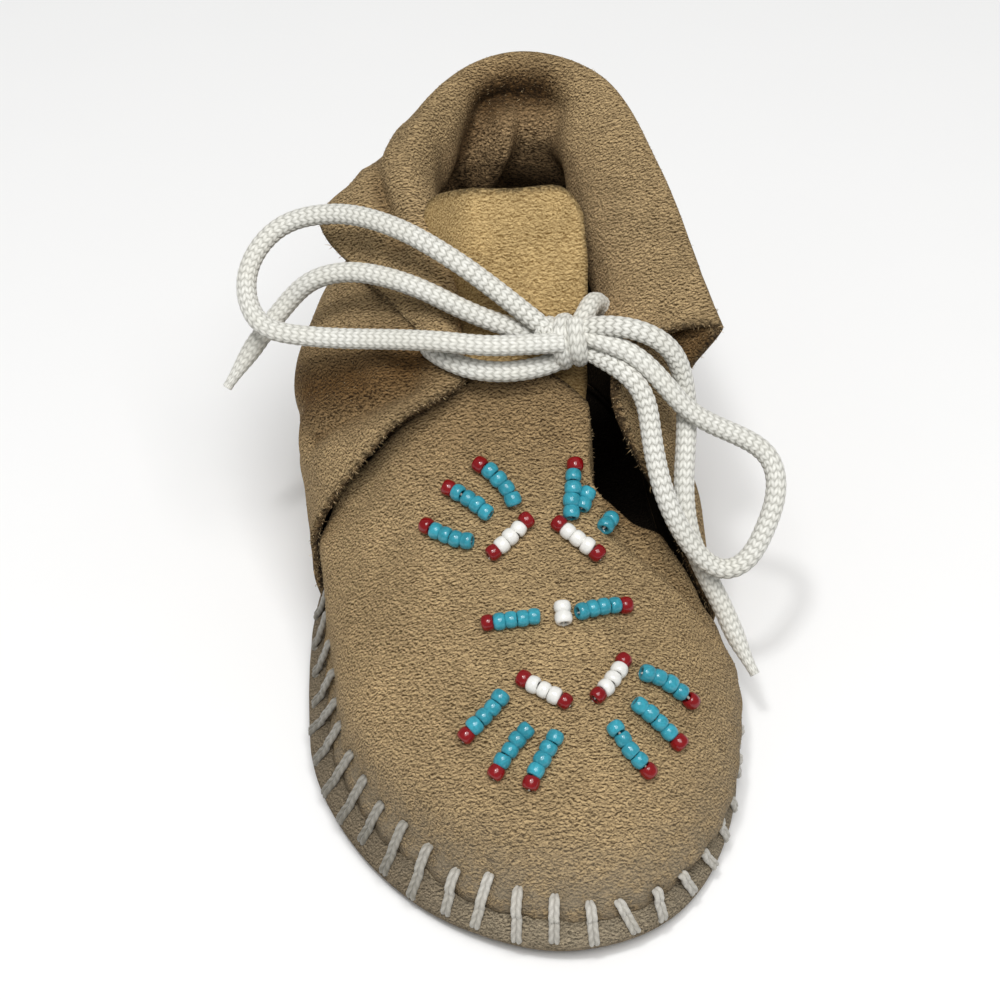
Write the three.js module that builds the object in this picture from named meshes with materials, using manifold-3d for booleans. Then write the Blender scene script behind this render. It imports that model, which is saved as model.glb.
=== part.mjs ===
// Baby moccasin: soft suede sole, hollow upper with a folded cuff, tongue, tied lace and bead rows.
// Millimetres, +Z up, the toe towards -Y, the sole flat on z = 0.
import * as THREE from 'three'
import Module from 'manifold-3d'

const wasm = await Module()
wasm.setup()

// Driving sizes of the last
const BALL_Y = -22
const HEEL_Y = 30
const TOE_LENGTH = 41
const HEEL_LENGTH = 30.5
const RIDGE_X = 3.8
const TOE_POWER = { left: 1.78, right: 2.1 }
const HEEL_POWER = 2.15
const LEATHER = 1.6
const SEAT = 0.3

// Sole: height of its turned-up rim and how far the rim leans in, thickness of its floor,
// spring of the toe and lift of the waist
const RIM_TOP = 6
const RIM_LEAN = 1.2
const FLOOR = 2.0
const TOE_SPRING = 1.4
const TOE_SPRING_LENGTH = 13
const WAIST_LIFT = 0.6
const WAIST_Y = 6
const WAIST_REACH = 22

// Vamp: the seam over the rim and the fullness of its dome
const SEAM_Z = RIM_TOP + SEAT
const DOME_IN = 2.4
const DOME_OUT = 2.0

// Side edges of the sole between ball and heel
const SIDES = [
  { y: -22, left: -32.4, right: 31.7 },
  { y: 0, left: -31, right: 29.8 },
  { y: 14, left: -27, right: 28.6 },
  { y: 30, left: -20.5, right: 28 },
]

// Height of the vamp's ridge from toe to throat
const RIDGE = [
  { y: -63, z: 15.5 },
  { y: -50, z: 20.5 },
  { y: -36, z: 24.5 },
  { y: -22, z: 28.5 },
  { y: -8, z: 34 },
  { y: 4, z: 41.2 },
  { y: 10, z: 45.6 },
]

// Throat edge of the vamp and where its two side edges meet the seam
const THROAT = { left: [-9, 9.5], right: [13, 8] }
const VAMP_SEAM = { left: -0.61, right: 1.42 }
const SHOULDER_BOW = [-6.5, -9]

// Tuck of the vamp's sides inside the heel wrap, and the stretch over which it comes in
const TUCK = { depth: 1.3, left: [-1, 7], right: [-15, -7] }

// Heel wrap, a row for each section from the left front round the heel to the right front.
// at: place on the sole's edge; then the middle of the leather up the wall, over the fold, down to the hem
const WRAP = [
  { at: 3.51, wall: [-29.7, 4.2, 20], shoulder: [-17, 5.3, 39.2], neck: [-5.7, 9, 47],
    lip: [-6.2, 11, 48.6], crest: [-7.7, 13, 49.8], hem: [-10, 15.5, 49.3] },
  { at: 3.31, wall: [-30.2, 13, 24], shoulder: [-22, 15, 40], neck: [-9.8, 19, 49],
    lip: [-9.8, 21.5, 51.5], crest: [-11, 24.5, 53.5], hem: [-21, 32, 50] },
  { at: 3.1, wall: [-30, 25, 26], shoulder: [-24.5, 27, 41], neck: [-13, 29, 50],
    lip: [-11.6, 31, 54.5], crest: [-13.2, 33.5, 58.2], hem: [-26, 38.5, 49] },
  { at: 2.87, wall: [-21.5, 44.5, 26], shoulder: [-18, 44, 42], neck: [-12.5, 42.5, 51],
    lip: [-11.8, 42, 57], crest: [-13.8, 42.6, 62.5], hem: [-21.5, 46, 48] },
  { at: 2.69, wall: [-9.5, 56.5, 25], shoulder: [-8, 54.8, 42], neck: [-5, 51.2, 52],
    lip: [-3.5, 52.2, 60], crest: [-4.3, 56, 66], hem: [-11, 60.5, 49] },
  { at: 2.5, wall: [5.2, 62, 24], shoulder: [5.8, 59.8, 42], neck: [7, 55.8, 53],
    lip: [7.5, 57, 61], crest: [8, 61, 67.5], hem: [8, 66.5, 49.5] },
  { at: 2.29, wall: [20.5, 56, 25], shoulder: [20, 54, 42], neck: [17.2, 50.5, 52],
    lip: [17.2, 51.6, 60], crest: [19.6, 55.2, 66.8], hem: [25.5, 59, 49.5] },
  { at: 2.06, wall: [29, 36, 25], shoulder: [26.8, 36, 40], neck: [21.5, 36, 48.5],
    lip: [22.2, 35.5, 56], crest: [26.6, 36, 63], hem: [32, 37, 49.5] },
  { at: 1.69, wall: [29, 14, 24], shoulder: [26.6, 14, 37], neck: [20, 17, 46.5],
    lip: [22.5, 18.5, 52], crest: [30.4, 18.5, 57.6], hem: [32.6, 17.5, 48.8] },
  { at: 1.23, wall: [30.1, -11.2, 14.5], shoulder: [23.4, -6.5, 31], neck: [16.4, 4.8, 45.9],
    lip: [19, 10.5, 50.6], crest: [32.3, 8.9, 54], hem: [30.6, 8.2, 47] },
]

// Tongue, a row for each section from its sewn foot behind the vamp to its rounded top
const TONGUE = [
  { y: 5.5, z: 37.9, left: -6.4, right: 11.2 },
  { y: 12.5, z: 43.5, left: -6.6, right: 13 },
  { y: 19, z: 52.4, left: -7.2, right: 13.8 },
  { y: 26, z: 62.8, left: -9, right: 14 },
  { y: 28, z: 65.8, left: -8.6, right: 13.3 },
  { y: 29.3, z: 67.8, left: -6.4, right: 10.4 },
]
const TONGUE_BOW = 2.2

// Lace: a round braided cord, its holes through the two fronts and the places that each stretch runs by
const LACE_RADIUS = 2
const LACE_HOLE_RADIUS = 2.5
const LACE_HOLES = [
  { at: [-11.6, 15, 47.2], out: [-0.42, -0.32, 0.85] },
  { at: [20, 17, 46.6], out: [0.9, 0, 0.4] },
]
const KNOT = { at: [9.8, 11, 51.7], size: [4.5, 4.2, 4.9] }
const LACE = {
  lace_bar_left: [[-11.6, 13.6, 50.4], [-9, 9.6, 50.6], [-5.2, 6.4, 50.4], [0, 5.6, 49.2], [6, 7, 48.8]],
  lace_bar_right: [[13.2, 13.6, 54.2], [15.8, 17.2, 55], [17.6, 19.6, 53.2], [18, 20, 50.4], [17.8, 19, 48.4]],
  lace_loop_left: [
    [5.1, 12.4, 55], [-0.6, 16.4, 58.4], [-6.4, 20, 61.6], [-14.4, 27, 62.6], [-23.1, 33.6, 60.6], [-31.4, 35.2, 57.6],
    [-36.3, 31.2, 54.2], [-37.2, 25.8, 51.6], [-35, 20.8, 49.8], [-29.9, 18, 49.6], [-22.8, 16.6, 49.4],
    [-16.6, 14.4, 52.8], [-9, 9.8, 56], [-2, 7.4, 55.6], [4.7, 8, 54.2],
  ],
  lace_loop_right: [
    [14.4, 8, 50.8], [18.6, 3.6, 50.4], [20.6, 1.6, 47.6], [21, -2.4, 43.2], [22.4, -9, 37.2], [26.4, -13, 30],
    [30.3, -14.8, 26.6], [34.2, -14.2, 27.5], [37.1, -11.2, 30.5], [39.7, -6.7, 35], [39.2, -2.5, 38],
    [35.4, -0.4, 40.8], [30.8, 2.2, 43.6], [27, 3.8, 46.6], [23.8, 5, 51], [20.2, 6.2, 55], [14.7, 9, 55],
  ],
  lace_end_left: [
    [0.8, 14.2, 52.8], [-5.2, 16.2, 54.8], [-10.6, 19, 56.6], [-16, 22.6, 56.6], [-22.1, 26, 55.4],
    [-27.6, 27.4, 52.8], [-31.6, 27.4, 48.2], [-35.6, 25.4, 44.2], [-39, 23.2, 40.4], [-41.4, 21.6, 37.6],
  ],
  lace_end_right: [
    [27.2, 7.4, 42.2], [27.8, 3.6, 39.4], [27.2, -1, 37.4], [27.8, -5.4, 33.6], [30, -8.6, 28.8],
    [32, -11.4, 22.6], [33.4, -16, 16.8], [35, -20.6, 12],
  ],
}

// Bead rows: the red bead's place over the vamp, the way the row runs from it, and its beads in turn
const BEAD_RADIUS = 1.2
const BEAD_PITCH = 1.75
const FAN_ROW = ['red', 'turquoise', 'turquoise', 'turquoise', 'turquoise']
const CHEVRON_ROW = ['red', 'white', 'white', 'white', 'red']
const WHITE_PAIR = ['white', 'white']
const BEAD_ROWS = [
  { name: 'bead_fan_upper_left_1', from: [-12.6, -7], turn: -34, beads: FAN_ROW },
  { name: 'bead_fan_upper_left_2', from: [-9, -2.9], turn: -41, beads: FAN_ROW },
  { name: 'bead_fan_upper_left_3', from: [-4.2, -1], turn: -50, beads: FAN_ROW },
  { name: 'bead_fan_upper_right_1', from: [18.6, -9.6], turn: 194, beads: FAN_ROW },
  { name: 'bead_fan_upper_right_2', from: [12.1, -5.4], turn: 248, beads: FAN_ROW.slice(0, 4) },
  { name: 'bead_fan_upper_right_3', from: [9.6, -1.4], turn: 260, beads: FAN_ROW },
  { name: 'bead_chevron_upper_left', from: [-3.5, -13.1], turn: 37, beads: CHEVRON_ROW },
  { name: 'bead_chevron_upper_right', from: [11.6, -14.2], turn: 140, beads: CHEVRON_ROW },
  { name: 'bead_bar_left', from: [-5.3, -22.8], turn: 1, beads: FAN_ROW },
  { name: 'bead_bar_right', from: [14.9, -20.9], turn: 192, beads: FAN_ROW },
  { name: 'bead_pair_middle', from: [5.6, -21.5], turn: -92, beads: WHITE_PAIR },
  { name: 'bead_chevron_lower_left', from: [-1.1, -31.9], turn: -35, beads: CHEVRON_ROW },
  { name: 'bead_chevron_lower_right', from: [13.4, -29.6], turn: 231, beads: CHEVRON_ROW },
  { name: 'bead_fan_lower_left_1', from: [-9.9, -37.8], turn: 37, beads: FAN_ROW },
  { name: 'bead_fan_lower_left_2', from: [-6.2, -43.4], turn: 46, beads: FAN_ROW },
  { name: 'bead_fan_lower_left_3', from: [-1.5, -45.9], turn: 54, beads: FAN_ROW },
  { name: 'bead_fan_lower_right_1', from: [22.8, -34], turn: 163, beads: FAN_ROW },
  { name: 'bead_fan_lower_right_2', from: [20.3, -40.4], turn: 144, beads: FAN_ROW },
  { name: 'bead_fan_lower_right_3', from: [15.1, -45.1], turn: 127, beads: FAN_ROW },
]

const SUEDE = 0xa5855f
const GOLDEN_SUEDE = 0xb8904f
const LACE_WHITE = 0xe6e2d6
const BEAD_COLOURS = { turquoise: 0x3fa6bd, red: 0x9c1220, white: 0xf0efe8 }

const lerp = THREE.MathUtils.lerp

function steps(from, to, count) {
  return Array.from({ length: count + 1 }, (_, i) => lerp(from, to, i / count))
}

// Value of a named column between the rows of a table, eased by its neighbours' slopes.
// The sole's sides run flat into the toe and heel arcs
function column(table, name, y) {
  const last = table.length - 2
  let i = 0
  while (i < last && y > table[i + 1].y) i += 1
  const slope = (j) => {
    if (table === SIDES && (j === 0 || j === table.length - 1)) return 0
    const a = table[Math.max(j - 1, 0)]
    const b = table[Math.min(j + 1, table.length - 1)]
    return (b[name] - a[name]) / (b.y - a.y)
  }
  const a = table[i]
  const b = table[i + 1]
  const h = b.y - a.y
  const t = (y - a.y) / h
  const rise = b[name] - a[name]
  const c = h * slope(i) - rise
  const d = rise - h * slope(i + 1)
  return a[name] + t * rise + t * (1 - t) * ((1 - t) * c + t * d)
}

// Sole edge: 0 to 1 round the toe, to 2 along the right side, to 3 round the heel, to 4 along the left
function soleEdge(place) {
  const u = ((place % 4) + 4) % 4
  const part = Math.floor(u)
  const f = u - part
  if (part === 1 || part === 3) {
    const y = part === 1 ? lerp(BALL_Y, HEEL_Y, f) : lerp(HEEL_Y, BALL_Y, f)
    return new THREE.Vector2(column(SIDES, part === 1 ? 'right' : 'left', y), y)
  }
  const toe = part === 0
  const row = SIDES[toe ? 0 : SIDES.length - 1]
  const middle = toe ? RIDGE_X : (row.left + row.right) / 2
  const across = toe ? -Math.cos(f * Math.PI) : Math.cos(f * Math.PI)
  const along = Math.sin(f * Math.PI)
  const toePower = across < 0 ? TOE_POWER.left : TOE_POWER.right
  const power = toe ? toePower : HEEL_POWER
  const size = (Math.abs(across) ** power + along ** power) ** (-1 / power)
  const half = across < 0 ? middle - row.left : row.right - middle
  const y = toe ? BALL_Y - TOE_LENGTH * along * size : HEEL_Y + HEEL_LENGTH * along * size
  return new THREE.Vector2(middle + half * across * size, y)
}

// Outward direction of the sole's edge
function soleSide(place) {
  const along = soleEdge(place + 0.01).sub(soleEdge(place - 0.01))
  return new THREE.Vector2(along.y, -along.x).normalize()
}

// Lift of the underside: the toe springs up a little and the waist clears the floor
function lift(y) {
  const toe = Math.max(0, (BALL_Y - TOE_LENGTH + TOE_SPRING_LENGTH - y) / TOE_SPRING_LENGTH)
  const waist = Math.max(0, 1 - ((y - WAIST_Y) / WAIST_REACH) ** 2)
  return TOE_SPRING * toe ** 2 + WAIST_LIFT * waist ** 2
}

// Outer height of the vamp over a point of the sole
function vampHeight(x, y) {
  const front = Math.max(BALL_Y - y, 0) / (TOE_LENGTH - RIM_LEAN)
  const name = x < RIDGE_X ? 'left' : 'right'
  const tuck = TUCK.depth * THREE.MathUtils.smoothstep(y, ...TUCK[name])
  const half = Math.abs(column(SIDES, name, Math.max(y, BALL_Y)) - RIDGE_X) - tuck - RIM_LEAN
  const side = Math.abs(x - RIDGE_X) / half
  const power = TOE_POWER[name]
  const reach = Math.min((side ** power + front ** power) ** (1 / power), 1)
  const dome = (1 - reach ** DOME_IN) ** (1 / DOME_OUT)
  const seam = SEAM_Z + lift(y)
  return seam + (column(RIDGE, 'z', y) - seam) * dome
}

// Closed wall of leather: a grid of points thickened along its normals, from -back to +front.
// The column numbered foot stands level on the sole's rim
function sheet(grid, back, front, foot = -1) {
  const rows = grid.length
  const cols = grid[0].length
  const sides = [[], []]
  for (let i = 0; i < rows; i += 1) {
    for (let j = 0; j < cols; j += 1) {
      const du = grid[Math.min(i + 1, rows - 1)][j].clone().sub(grid[Math.max(i - 1, 0)][j])
      const dv = grid[i][Math.min(j + 1, cols - 1)].clone().sub(grid[i][Math.max(j - 1, 0)])
      const n = du.cross(dv)
      if (j === foot) n.z = 0
      n.normalize()
      sides[0].push(grid[i][j].clone().addScaledVector(n, front))
      sides[1].push(grid[i][j].clone().addScaledVector(n, -back))
    }
  }
  const at = (side, i, j) => side * rows * cols + i * cols + j
  const faces = []
  const quad = (a, b, c, d) => faces.push(a, b, c, a, c, d)
  for (let i = 0; i < rows - 1; i += 1) {
    for (let j = 0; j < cols - 1; j += 1) {
      quad(at(0, i, j), at(0, i + 1, j), at(0, i + 1, j + 1), at(0, i, j + 1))
      quad(at(1, i, j), at(1, i, j + 1), at(1, i + 1, j + 1), at(1, i + 1, j))
    }
    quad(at(0, i + 1, 0), at(0, i, 0), at(1, i, 0), at(1, i + 1, 0))
    quad(at(0, i, cols - 1), at(0, i + 1, cols - 1), at(1, i + 1, cols - 1), at(1, i, cols - 1))
  }
  for (let j = 0; j < cols - 1; j += 1) {
    quad(at(0, 0, j), at(0, 0, j + 1), at(1, 0, j + 1), at(1, 0, j))
    quad(at(0, rows - 1, j + 1), at(0, rows - 1, j), at(1, rows - 1, j), at(1, rows - 1, j + 1))
  }
  return meshed([...sides[0], ...sides[1]], faces)
}

function meshed(points, faces) {
  const geometry = new THREE.BufferGeometry().setFromPoints(points)
  geometry.setIndex(faces)
  return geometry
}

function solid(geometry) {
  const points = Float32Array.from(geometry.attributes.position.array)
  const faces = Uint32Array.from(geometry.index.array)
  const mesh = new wasm.Mesh({ numProp: 3, vertProperties: points, triVerts: faces })
  mesh.merge()
  return new wasm.Manifold(mesh)
}

function fromSolid(manifold) {
  const mesh = manifold.getMesh()
  const geometry = new THREE.BufferGeometry()
  geometry.setAttribute('position', new THREE.BufferAttribute(mesh.vertProperties, 3))
  geometry.setIndex(new THREE.BufferAttribute(mesh.triVerts, 1))
  return geometry
}

// Sole: rings from the middle of the floor out and over the rim to the middle of the underside
const SOLE_RINGS = [
  { inset: 13, z: FLOOR },
  { inset: 5, z: FLOOR },
  { inset: 2.4, z: FLOOR + 1.4 },
  { inset: RIM_LEAN + LEATHER + 0.1, z: RIM_TOP },
  { inset: RIM_LEAN, z: RIM_TOP },
  { inset: 0.1, z: 4.8 },
  { inset: -0.5, z: 3.2 },
  { inset: 0.1, z: 1.3 },
  { inset: 1.6, z: 0.25 },
  { inset: 3.4, z: 0 },
  { inset: 13, z: 0 },
]

// Steps of the sole's edge round the toe, along a side and round the heel
const SOLE_STEPS = { toe: 26, side: 9, heel: 16 }

function soleGeometry() {
  const { toe, side, heel } = SOLE_STEPS
  const runs = [steps(0, 1, toe), steps(1, 2, side), steps(2, 3, heel), steps(3, 4, side)]
  const stops = runs.flatMap((run) => run.slice(0, -1))
  const n = stops.length
  const points = []
  for (const ring of SOLE_RINGS) {
    for (const u of stops) {
      const p = soleEdge(u).addScaledVector(soleSide(u), -ring.inset)
      points.push(new THREE.Vector3(p.x, p.y, ring.z + lift(p.y)))
    }
  }
  const faces = []
  for (let r = 0; r < SOLE_RINGS.length - 1; r += 1) {
    for (let i = 0; i < n; i += 1) {
      const a = r * n + i
      const b = r * n + ((i + 1) % n)
      faces.push(a, a + n, b + n, a, b + n, b)
    }
  }
  const under = (SOLE_RINGS.length - 1) * n
  const rungs = toe / 2 + side + heel / 2
  for (let k = 0; k < rungs; k += 1) {
    const left = [(toe / 2 - k + n) % n, (toe / 2 - k - 1 + n) % n]
    const right = [toe / 2 + k, toe / 2 + k + 1]
    const pairs = [[left[0], right[1], right[0]], [left[0], left[1], right[1]]]
    for (const [a, b, c] of pairs) {
      if (a === b || b === c || a === c) continue
      faces.push(a, c, b)
      faces.push(under + a, under + b, under + c)
    }
  }
  return meshed(points, faces)
}

// Vamp: a fan of columns from the throat edge out to the seam round the toe
function vampGeometry() {
  const stops = [...steps(VAMP_SEAM.left, 0, 5), ...steps(0, 1, 22).slice(1), ...steps(1, VAMP_SEAM.right, 4).slice(1)]
  const grid = stops.map((u, i) => {
    const f = i / (stops.length - 1)
    const edge = soleEdge(u)
    const x0 = lerp(THROAT.left[0], THROAT.right[0], f)
    const y0 = lerp(THROAT.left[1], THROAT.right[1], f)
    const bow = Math.max(0, 2 * f - 1) ** 4
    const tuck = TUCK.depth * THREE.MathUtils.smoothstep(edge.y, ...TUCK[f < 0.5 ? 'left' : 'right'])
    edge.addScaledVector(soleSide(u), -tuck - RIM_LEAN)
    return steps(0, 1, 13).map((q) => {
      const r = 1 - (1 - q) ** 1.8
      const bend = bow * 4 * r * (1 - r)
      const x = lerp(x0, edge.x, r) + SHOULDER_BOW[0] * bend
      const y = lerp(y0, edge.y, r) + SHOULDER_BOW[1] * bend
      return new THREE.Vector3(x, y, q === 1 ? SEAM_Z + lift(y) : vampHeight(x, y))
    })
  })
  return sheet(grid, 0, LEATHER, grid[0].length - 1)
}

// Heel wrap and cuff: each section of the table is one curve from the sole's rim to the hem
function wrapGeometry() {
  const names = ['wall', 'shoulder', 'neck', 'lip', 'crest', 'hem']
  const rails = names.map((name) => new THREE.CatmullRomCurve3(WRAP.map((row) => new THREE.Vector3(...row[name]))))
  const along = new THREE.SplineCurve(WRAP.map((row, i) => new THREE.Vector2(i, row.at)))
  const grid = steps(0, 1, 42).map((s) => {
    const at = along.getPoint(s).y
    const edge = soleEdge(at).addScaledVector(soleSide(at), -RIM_LEAN - LEATHER / 2)
    const foot = new THREE.Vector3(edge.x, edge.y, SEAM_Z + lift(edge.y))
    const section = new THREE.CatmullRomCurve3([foot, ...rails.map((rail) => rail.getPoint(s))])
    return steps(0, 1, 21).map((t) => section.getPoint(t))
  })
  return sheet(grid, LEATHER / 2, LEATHER / 2, 0)
}

function tongueGeometry() {
  const grid = [...steps(5.5, 26, 7), 27.2, 28, 28.8, 29.3].map((y) => {
    const left = column(TONGUE, 'left', y)
    const right = column(TONGUE, 'right', y)
    return steps(-1, 1, 8).map((c) => {
      const x = lerp(left, right, (c + 1) / 2)
      const bow = TONGUE_BOW * (1 - c * c)
      return new THREE.Vector3(x, y - bow * 0.5, column(TONGUE, 'z', y) + bow * 0.6 - TONGUE_BOW * 0.6)
    })
  })
  return sheet(grid, LEATHER / 2, LEATHER / 2)
}

// A stretch of lace: a ten-sided cord along a smooth curve through its places
function laceGeometry(places) {
  const path = new THREE.CatmullRomCurve3(places.map((place) => new THREE.Vector3(...place)))
  const section = new THREE.Shape(steps(0, 2 * Math.PI, 10).slice(0, -1).map(
    (a) => new THREE.Vector2(LACE_RADIUS * Math.cos(a), LACE_RADIUS * Math.sin(a))))
  const count = Math.max(4, Math.round(path.getLength() / (3.2 * LACE_RADIUS)))
  return new THREE.ExtrudeGeometry(section, { steps: count, extrudePath: path })
}

function knotGeometry() {
  const knot = new THREE.SphereGeometry(1, 12, 8)
  return knot.scale(...KNOT.size).translate(...KNOT.at)
}

function laceHole(hole) {
  const drill = new THREE.CylinderGeometry(LACE_HOLE_RADIUS, LACE_HOLE_RADIUS, 5 * LEATHER, 12)
  const up = new THREE.Vector3(0, 1, 0)
  drill.applyQuaternion(new THREE.Quaternion().setFromUnitVectors(up, new THREE.Vector3(...hole.out).normalize()))
  return solid(drill.translate(...hole.at))
}

// A strung row of beads: one turned solid, its waists where the beads meet, laid on the vamp
function beadRowGeometry(row) {
  const count = row.beads.length
  const profile = [new THREE.Vector2(0, -BEAD_PITCH / 2)]
  for (let k = 0; k < count; k += 1) {
    profile.push(new THREE.Vector2(BEAD_RADIUS * 0.72, (k - 0.5) * BEAD_PITCH))
    profile.push(new THREE.Vector2(BEAD_RADIUS, k * BEAD_PITCH))
  }
  profile.push(new THREE.Vector2(BEAD_RADIUS * 0.72, (count - 0.5) * BEAD_PITCH))
  profile.push(new THREE.Vector2(0, (count - 0.5) * BEAD_PITCH))
  const half = ((count - 1) * BEAD_PITCH) / 2
  const turn = THREE.MathUtils.degToRad(row.turn)
  const heading = new THREE.Vector2(Math.cos(turn), Math.sin(turn))
  const middle = new THREE.Vector2(...row.from).addScaledVector(heading, half * 0.95)
  const over = (x, y) => new THREE.Vector3(x, y, vampHeight(x, y))
  const along = over(middle.x + heading.x, middle.y + heading.y).sub(over(middle.x - heading.x, middle.y - heading.y))
  const across = over(middle.x - heading.y, middle.y + heading.x).sub(over(middle.x + heading.y, middle.y - heading.x))
  along.normalize()
  const out = along.clone().cross(across).normalize()
  const seat = over(middle.x, middle.y).addScaledVector(out, BEAD_RADIUS + SEAT).addScaledVector(along, -half)
  const frame = new THREE.Matrix4().makeBasis(out.clone().cross(along).negate(), along, out).setPosition(seat)
  return new THREE.LatheGeometry(profile, 6).applyMatrix4(frame)
}

function piece(name, geometry, color, roughness = 0.95) {
  geometry.computeVertexNormals()
  const material = new THREE.MeshStandardMaterial({ color, roughness, metalness: 0 })
  const mesh = new THREE.Mesh(geometry, material)
  mesh.name = name
  return mesh
}

const last = new THREE.Group()
const holes = LACE_HOLES.map(laceHole)
const leather = solid(vampGeometry()).add(solid(wrapGeometry()))
const upper = holes.reduce((wall, hole) => wall.subtract(hole), leather)
last.add(piece('sole', soleGeometry(), SUEDE))
last.add(piece('upper', fromSolid(upper), SUEDE))
last.add(piece('tongue', tongueGeometry(), GOLDEN_SUEDE))
const body = new THREE.Box3().setFromObject(last)

for (const row of BEAD_ROWS) {
  const colour = BEAD_COLOURS[row.beads[Math.floor(row.beads.length / 2)]]
  last.add(piece(row.name, beadRowGeometry(row), colour, 0.15))
}
last.add(piece('lace_knot', knotGeometry(), LACE_WHITE, 0.8))
for (const [name, places] of Object.entries(LACE)) last.add(piece(name, laceGeometry(places), LACE_WHITE, 0.8))

// The origin is on the floor, under the middle of sole, upper and tongue
const middle = body.getCenter(new THREE.Vector3())
last.position.set(-middle.x, -middle.y, 0)
const shoe = new THREE.Group()
shoe.add(last)

export default shoe
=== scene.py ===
"""Baby moccasin: a turned-up suede sole, a beaded vamp, a heel wrap with a folded cuff, a tongue and a tied lace."""

import math

import bpy
import numpy as np
from bpy.props import FloatProperty, FloatVectorProperty, IntProperty, PointerProperty
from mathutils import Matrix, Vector


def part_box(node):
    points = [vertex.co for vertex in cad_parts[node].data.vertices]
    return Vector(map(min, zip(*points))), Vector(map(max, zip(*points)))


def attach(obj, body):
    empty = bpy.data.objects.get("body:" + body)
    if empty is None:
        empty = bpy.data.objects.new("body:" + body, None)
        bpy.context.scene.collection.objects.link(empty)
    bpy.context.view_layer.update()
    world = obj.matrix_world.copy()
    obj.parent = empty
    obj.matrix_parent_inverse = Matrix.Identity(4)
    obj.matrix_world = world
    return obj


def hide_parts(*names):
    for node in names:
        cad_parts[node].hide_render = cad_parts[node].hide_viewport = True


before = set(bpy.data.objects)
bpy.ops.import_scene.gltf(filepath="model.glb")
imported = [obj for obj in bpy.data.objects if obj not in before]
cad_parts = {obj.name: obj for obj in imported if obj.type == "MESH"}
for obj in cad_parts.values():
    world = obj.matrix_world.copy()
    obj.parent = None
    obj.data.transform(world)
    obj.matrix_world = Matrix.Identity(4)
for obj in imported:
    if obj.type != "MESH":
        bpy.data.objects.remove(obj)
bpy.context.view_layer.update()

bl_info = {
    "name": "Baby moccasin",
    "version": (1, 0, 0),
    "blender": (4, 5, 0),
    "location": "View3D > Sidebar > Moccasin",
    "description": "Dresses the solids of a baby moccasin in suede, beads, stitches and a braided lace",
    "category": "Add Mesh",
}

MM = 0.001
BODY = "root"

# Sizes of the last in millimetres, as the solids have them, but for a throat that reaches further under the lace
BALL_Y, HEEL_Y = -22.0, 30.0
TOE_LENGTH, HEEL_LENGTH = 41.0, 30.5
RIDGE_X = 3.8
TOE_POWER = {"left": 1.78, "right": 2.1}
HEEL_POWER = 2.15
LEATHER = 1.6
FLOOR = 2.0
RIM_TOP, RIM_LEAN = 6.0, 1.2
SEAM_Z = RIM_TOP + 0.3
TOE_SPRING, TOE_SPRING_LENGTH = 1.4, 13.0
WAIST_LIFT, WAIST_Y, WAIST_REACH = 0.6, 6.0, 22.0
DOME_IN, DOME_OUT = 2.4, 2.0
SIDES = {"y": (-22, 0, 14, 30), "left": (-32.4, -31, -27, -20.5), "right": (31.7, 29.8, 28.6, 28)}
RIDGE = {"y": (-63, -50, -36, -22, -8, 4, 10), "z": (15.5, 20.5, 24.5, 28.5, 34, 41.2, 45.6)}
THROAT = {"left": (-9, 9.5), "right": (13, 8)}
VAMP_STEPS, VAMP_PLACES = (0, 5, 27, 31), (-0.61, 0, 1, 1.42)
FAN_EASE = 1.8
SHOULDER_BOW = (-2.0, -4.0)
THROAT_TUCK = 3.2
TUCK_DEPTH, TUCK = 1.3, {"left": (-1, 7), "right": (-15, -7)}

# Heel wrap, a row for each section from the left front round the heel to the right front: its place on the sole's edge,
# then its points at the wall, shoulder, neck, lip, crest and hem
WRAP = (
    (3.51, (-29.7, 4.2, 20), (-17, 5.3, 39.2), (-5.7, 9, 47), (-6.2, 11, 48.6), (-7.7, 13, 49.8), (-10, 15.5, 49.3)),
    (3.31, (-30.2, 13, 24), (-22, 15, 40), (-9.8, 19, 49), (-9.8, 21.5, 51.5), (-11, 24.5, 53.5), (-21, 32, 50)),
    (3.1, (-30, 25, 26), (-24.5, 27, 41), (-13, 29, 50), (-11.6, 31, 54.5), (-13.2, 33.5, 58.2), (-26, 38.5, 49)),
    (2.87, (-21.5, 44.5, 26), (-18, 44, 42), (-12.5, 42.5, 51), (-11.8, 42, 57), (-13.8, 42.6, 62.5), (-21.5, 46, 48)),
    (2.69, (-9.5, 56.5, 25), (-8, 54.8, 42), (-5, 51.2, 52), (-3.5, 52.2, 60), (-4.3, 56, 66), (-11, 60.5, 49)),
    (2.5, (5.2, 62, 24), (5.8, 59.8, 42), (7, 55.8, 53), (7.5, 57, 61), (8, 61, 67.5), (8, 66.5, 49.5)),
    (2.29, (20.5, 56, 25), (20, 54, 42), (17.2, 50.5, 52), (17.2, 51.6, 60), (19.6, 55.2, 66.8), (25.5, 59, 49.5)),
    (2.06, (29, 36, 25), (26.8, 36, 40), (21.5, 36, 48.5), (22.2, 35.5, 56), (26.6, 36, 63), (32, 37, 49.5)),
    (1.69, (29, 14, 24), (26.6, 14, 37), (20, 17, 46.5), (22.5, 18.5, 52), (30.4, 18.5, 57.6), (32.6, 17.5, 48.8)),
    (1.23, (30.1, -11.2, 14.5), (23.4, -6.5, 31), (16.4, 4.8, 45.9), (19, 10.5, 50.6), (32.3, 8.9, 54),
     (30.6, 8.2, 47)),
)
TONGUE = {
    "y": (5.5, 12.5, 19, 26, 28, 29.3),
    "z": (37.9, 43.5, 52.4, 62.8, 65.8, 67.8),
    "left": (-6.4, -6.6, -7.2, -9, -8.6, -6.4),
    "right": (11.2, 13, 13.8, 14, 13.3, 10.4),
}
TONGUE_BOW, BOW_FORWARD, BOW_UP = 2.2, 0.5, 0.6
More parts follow.
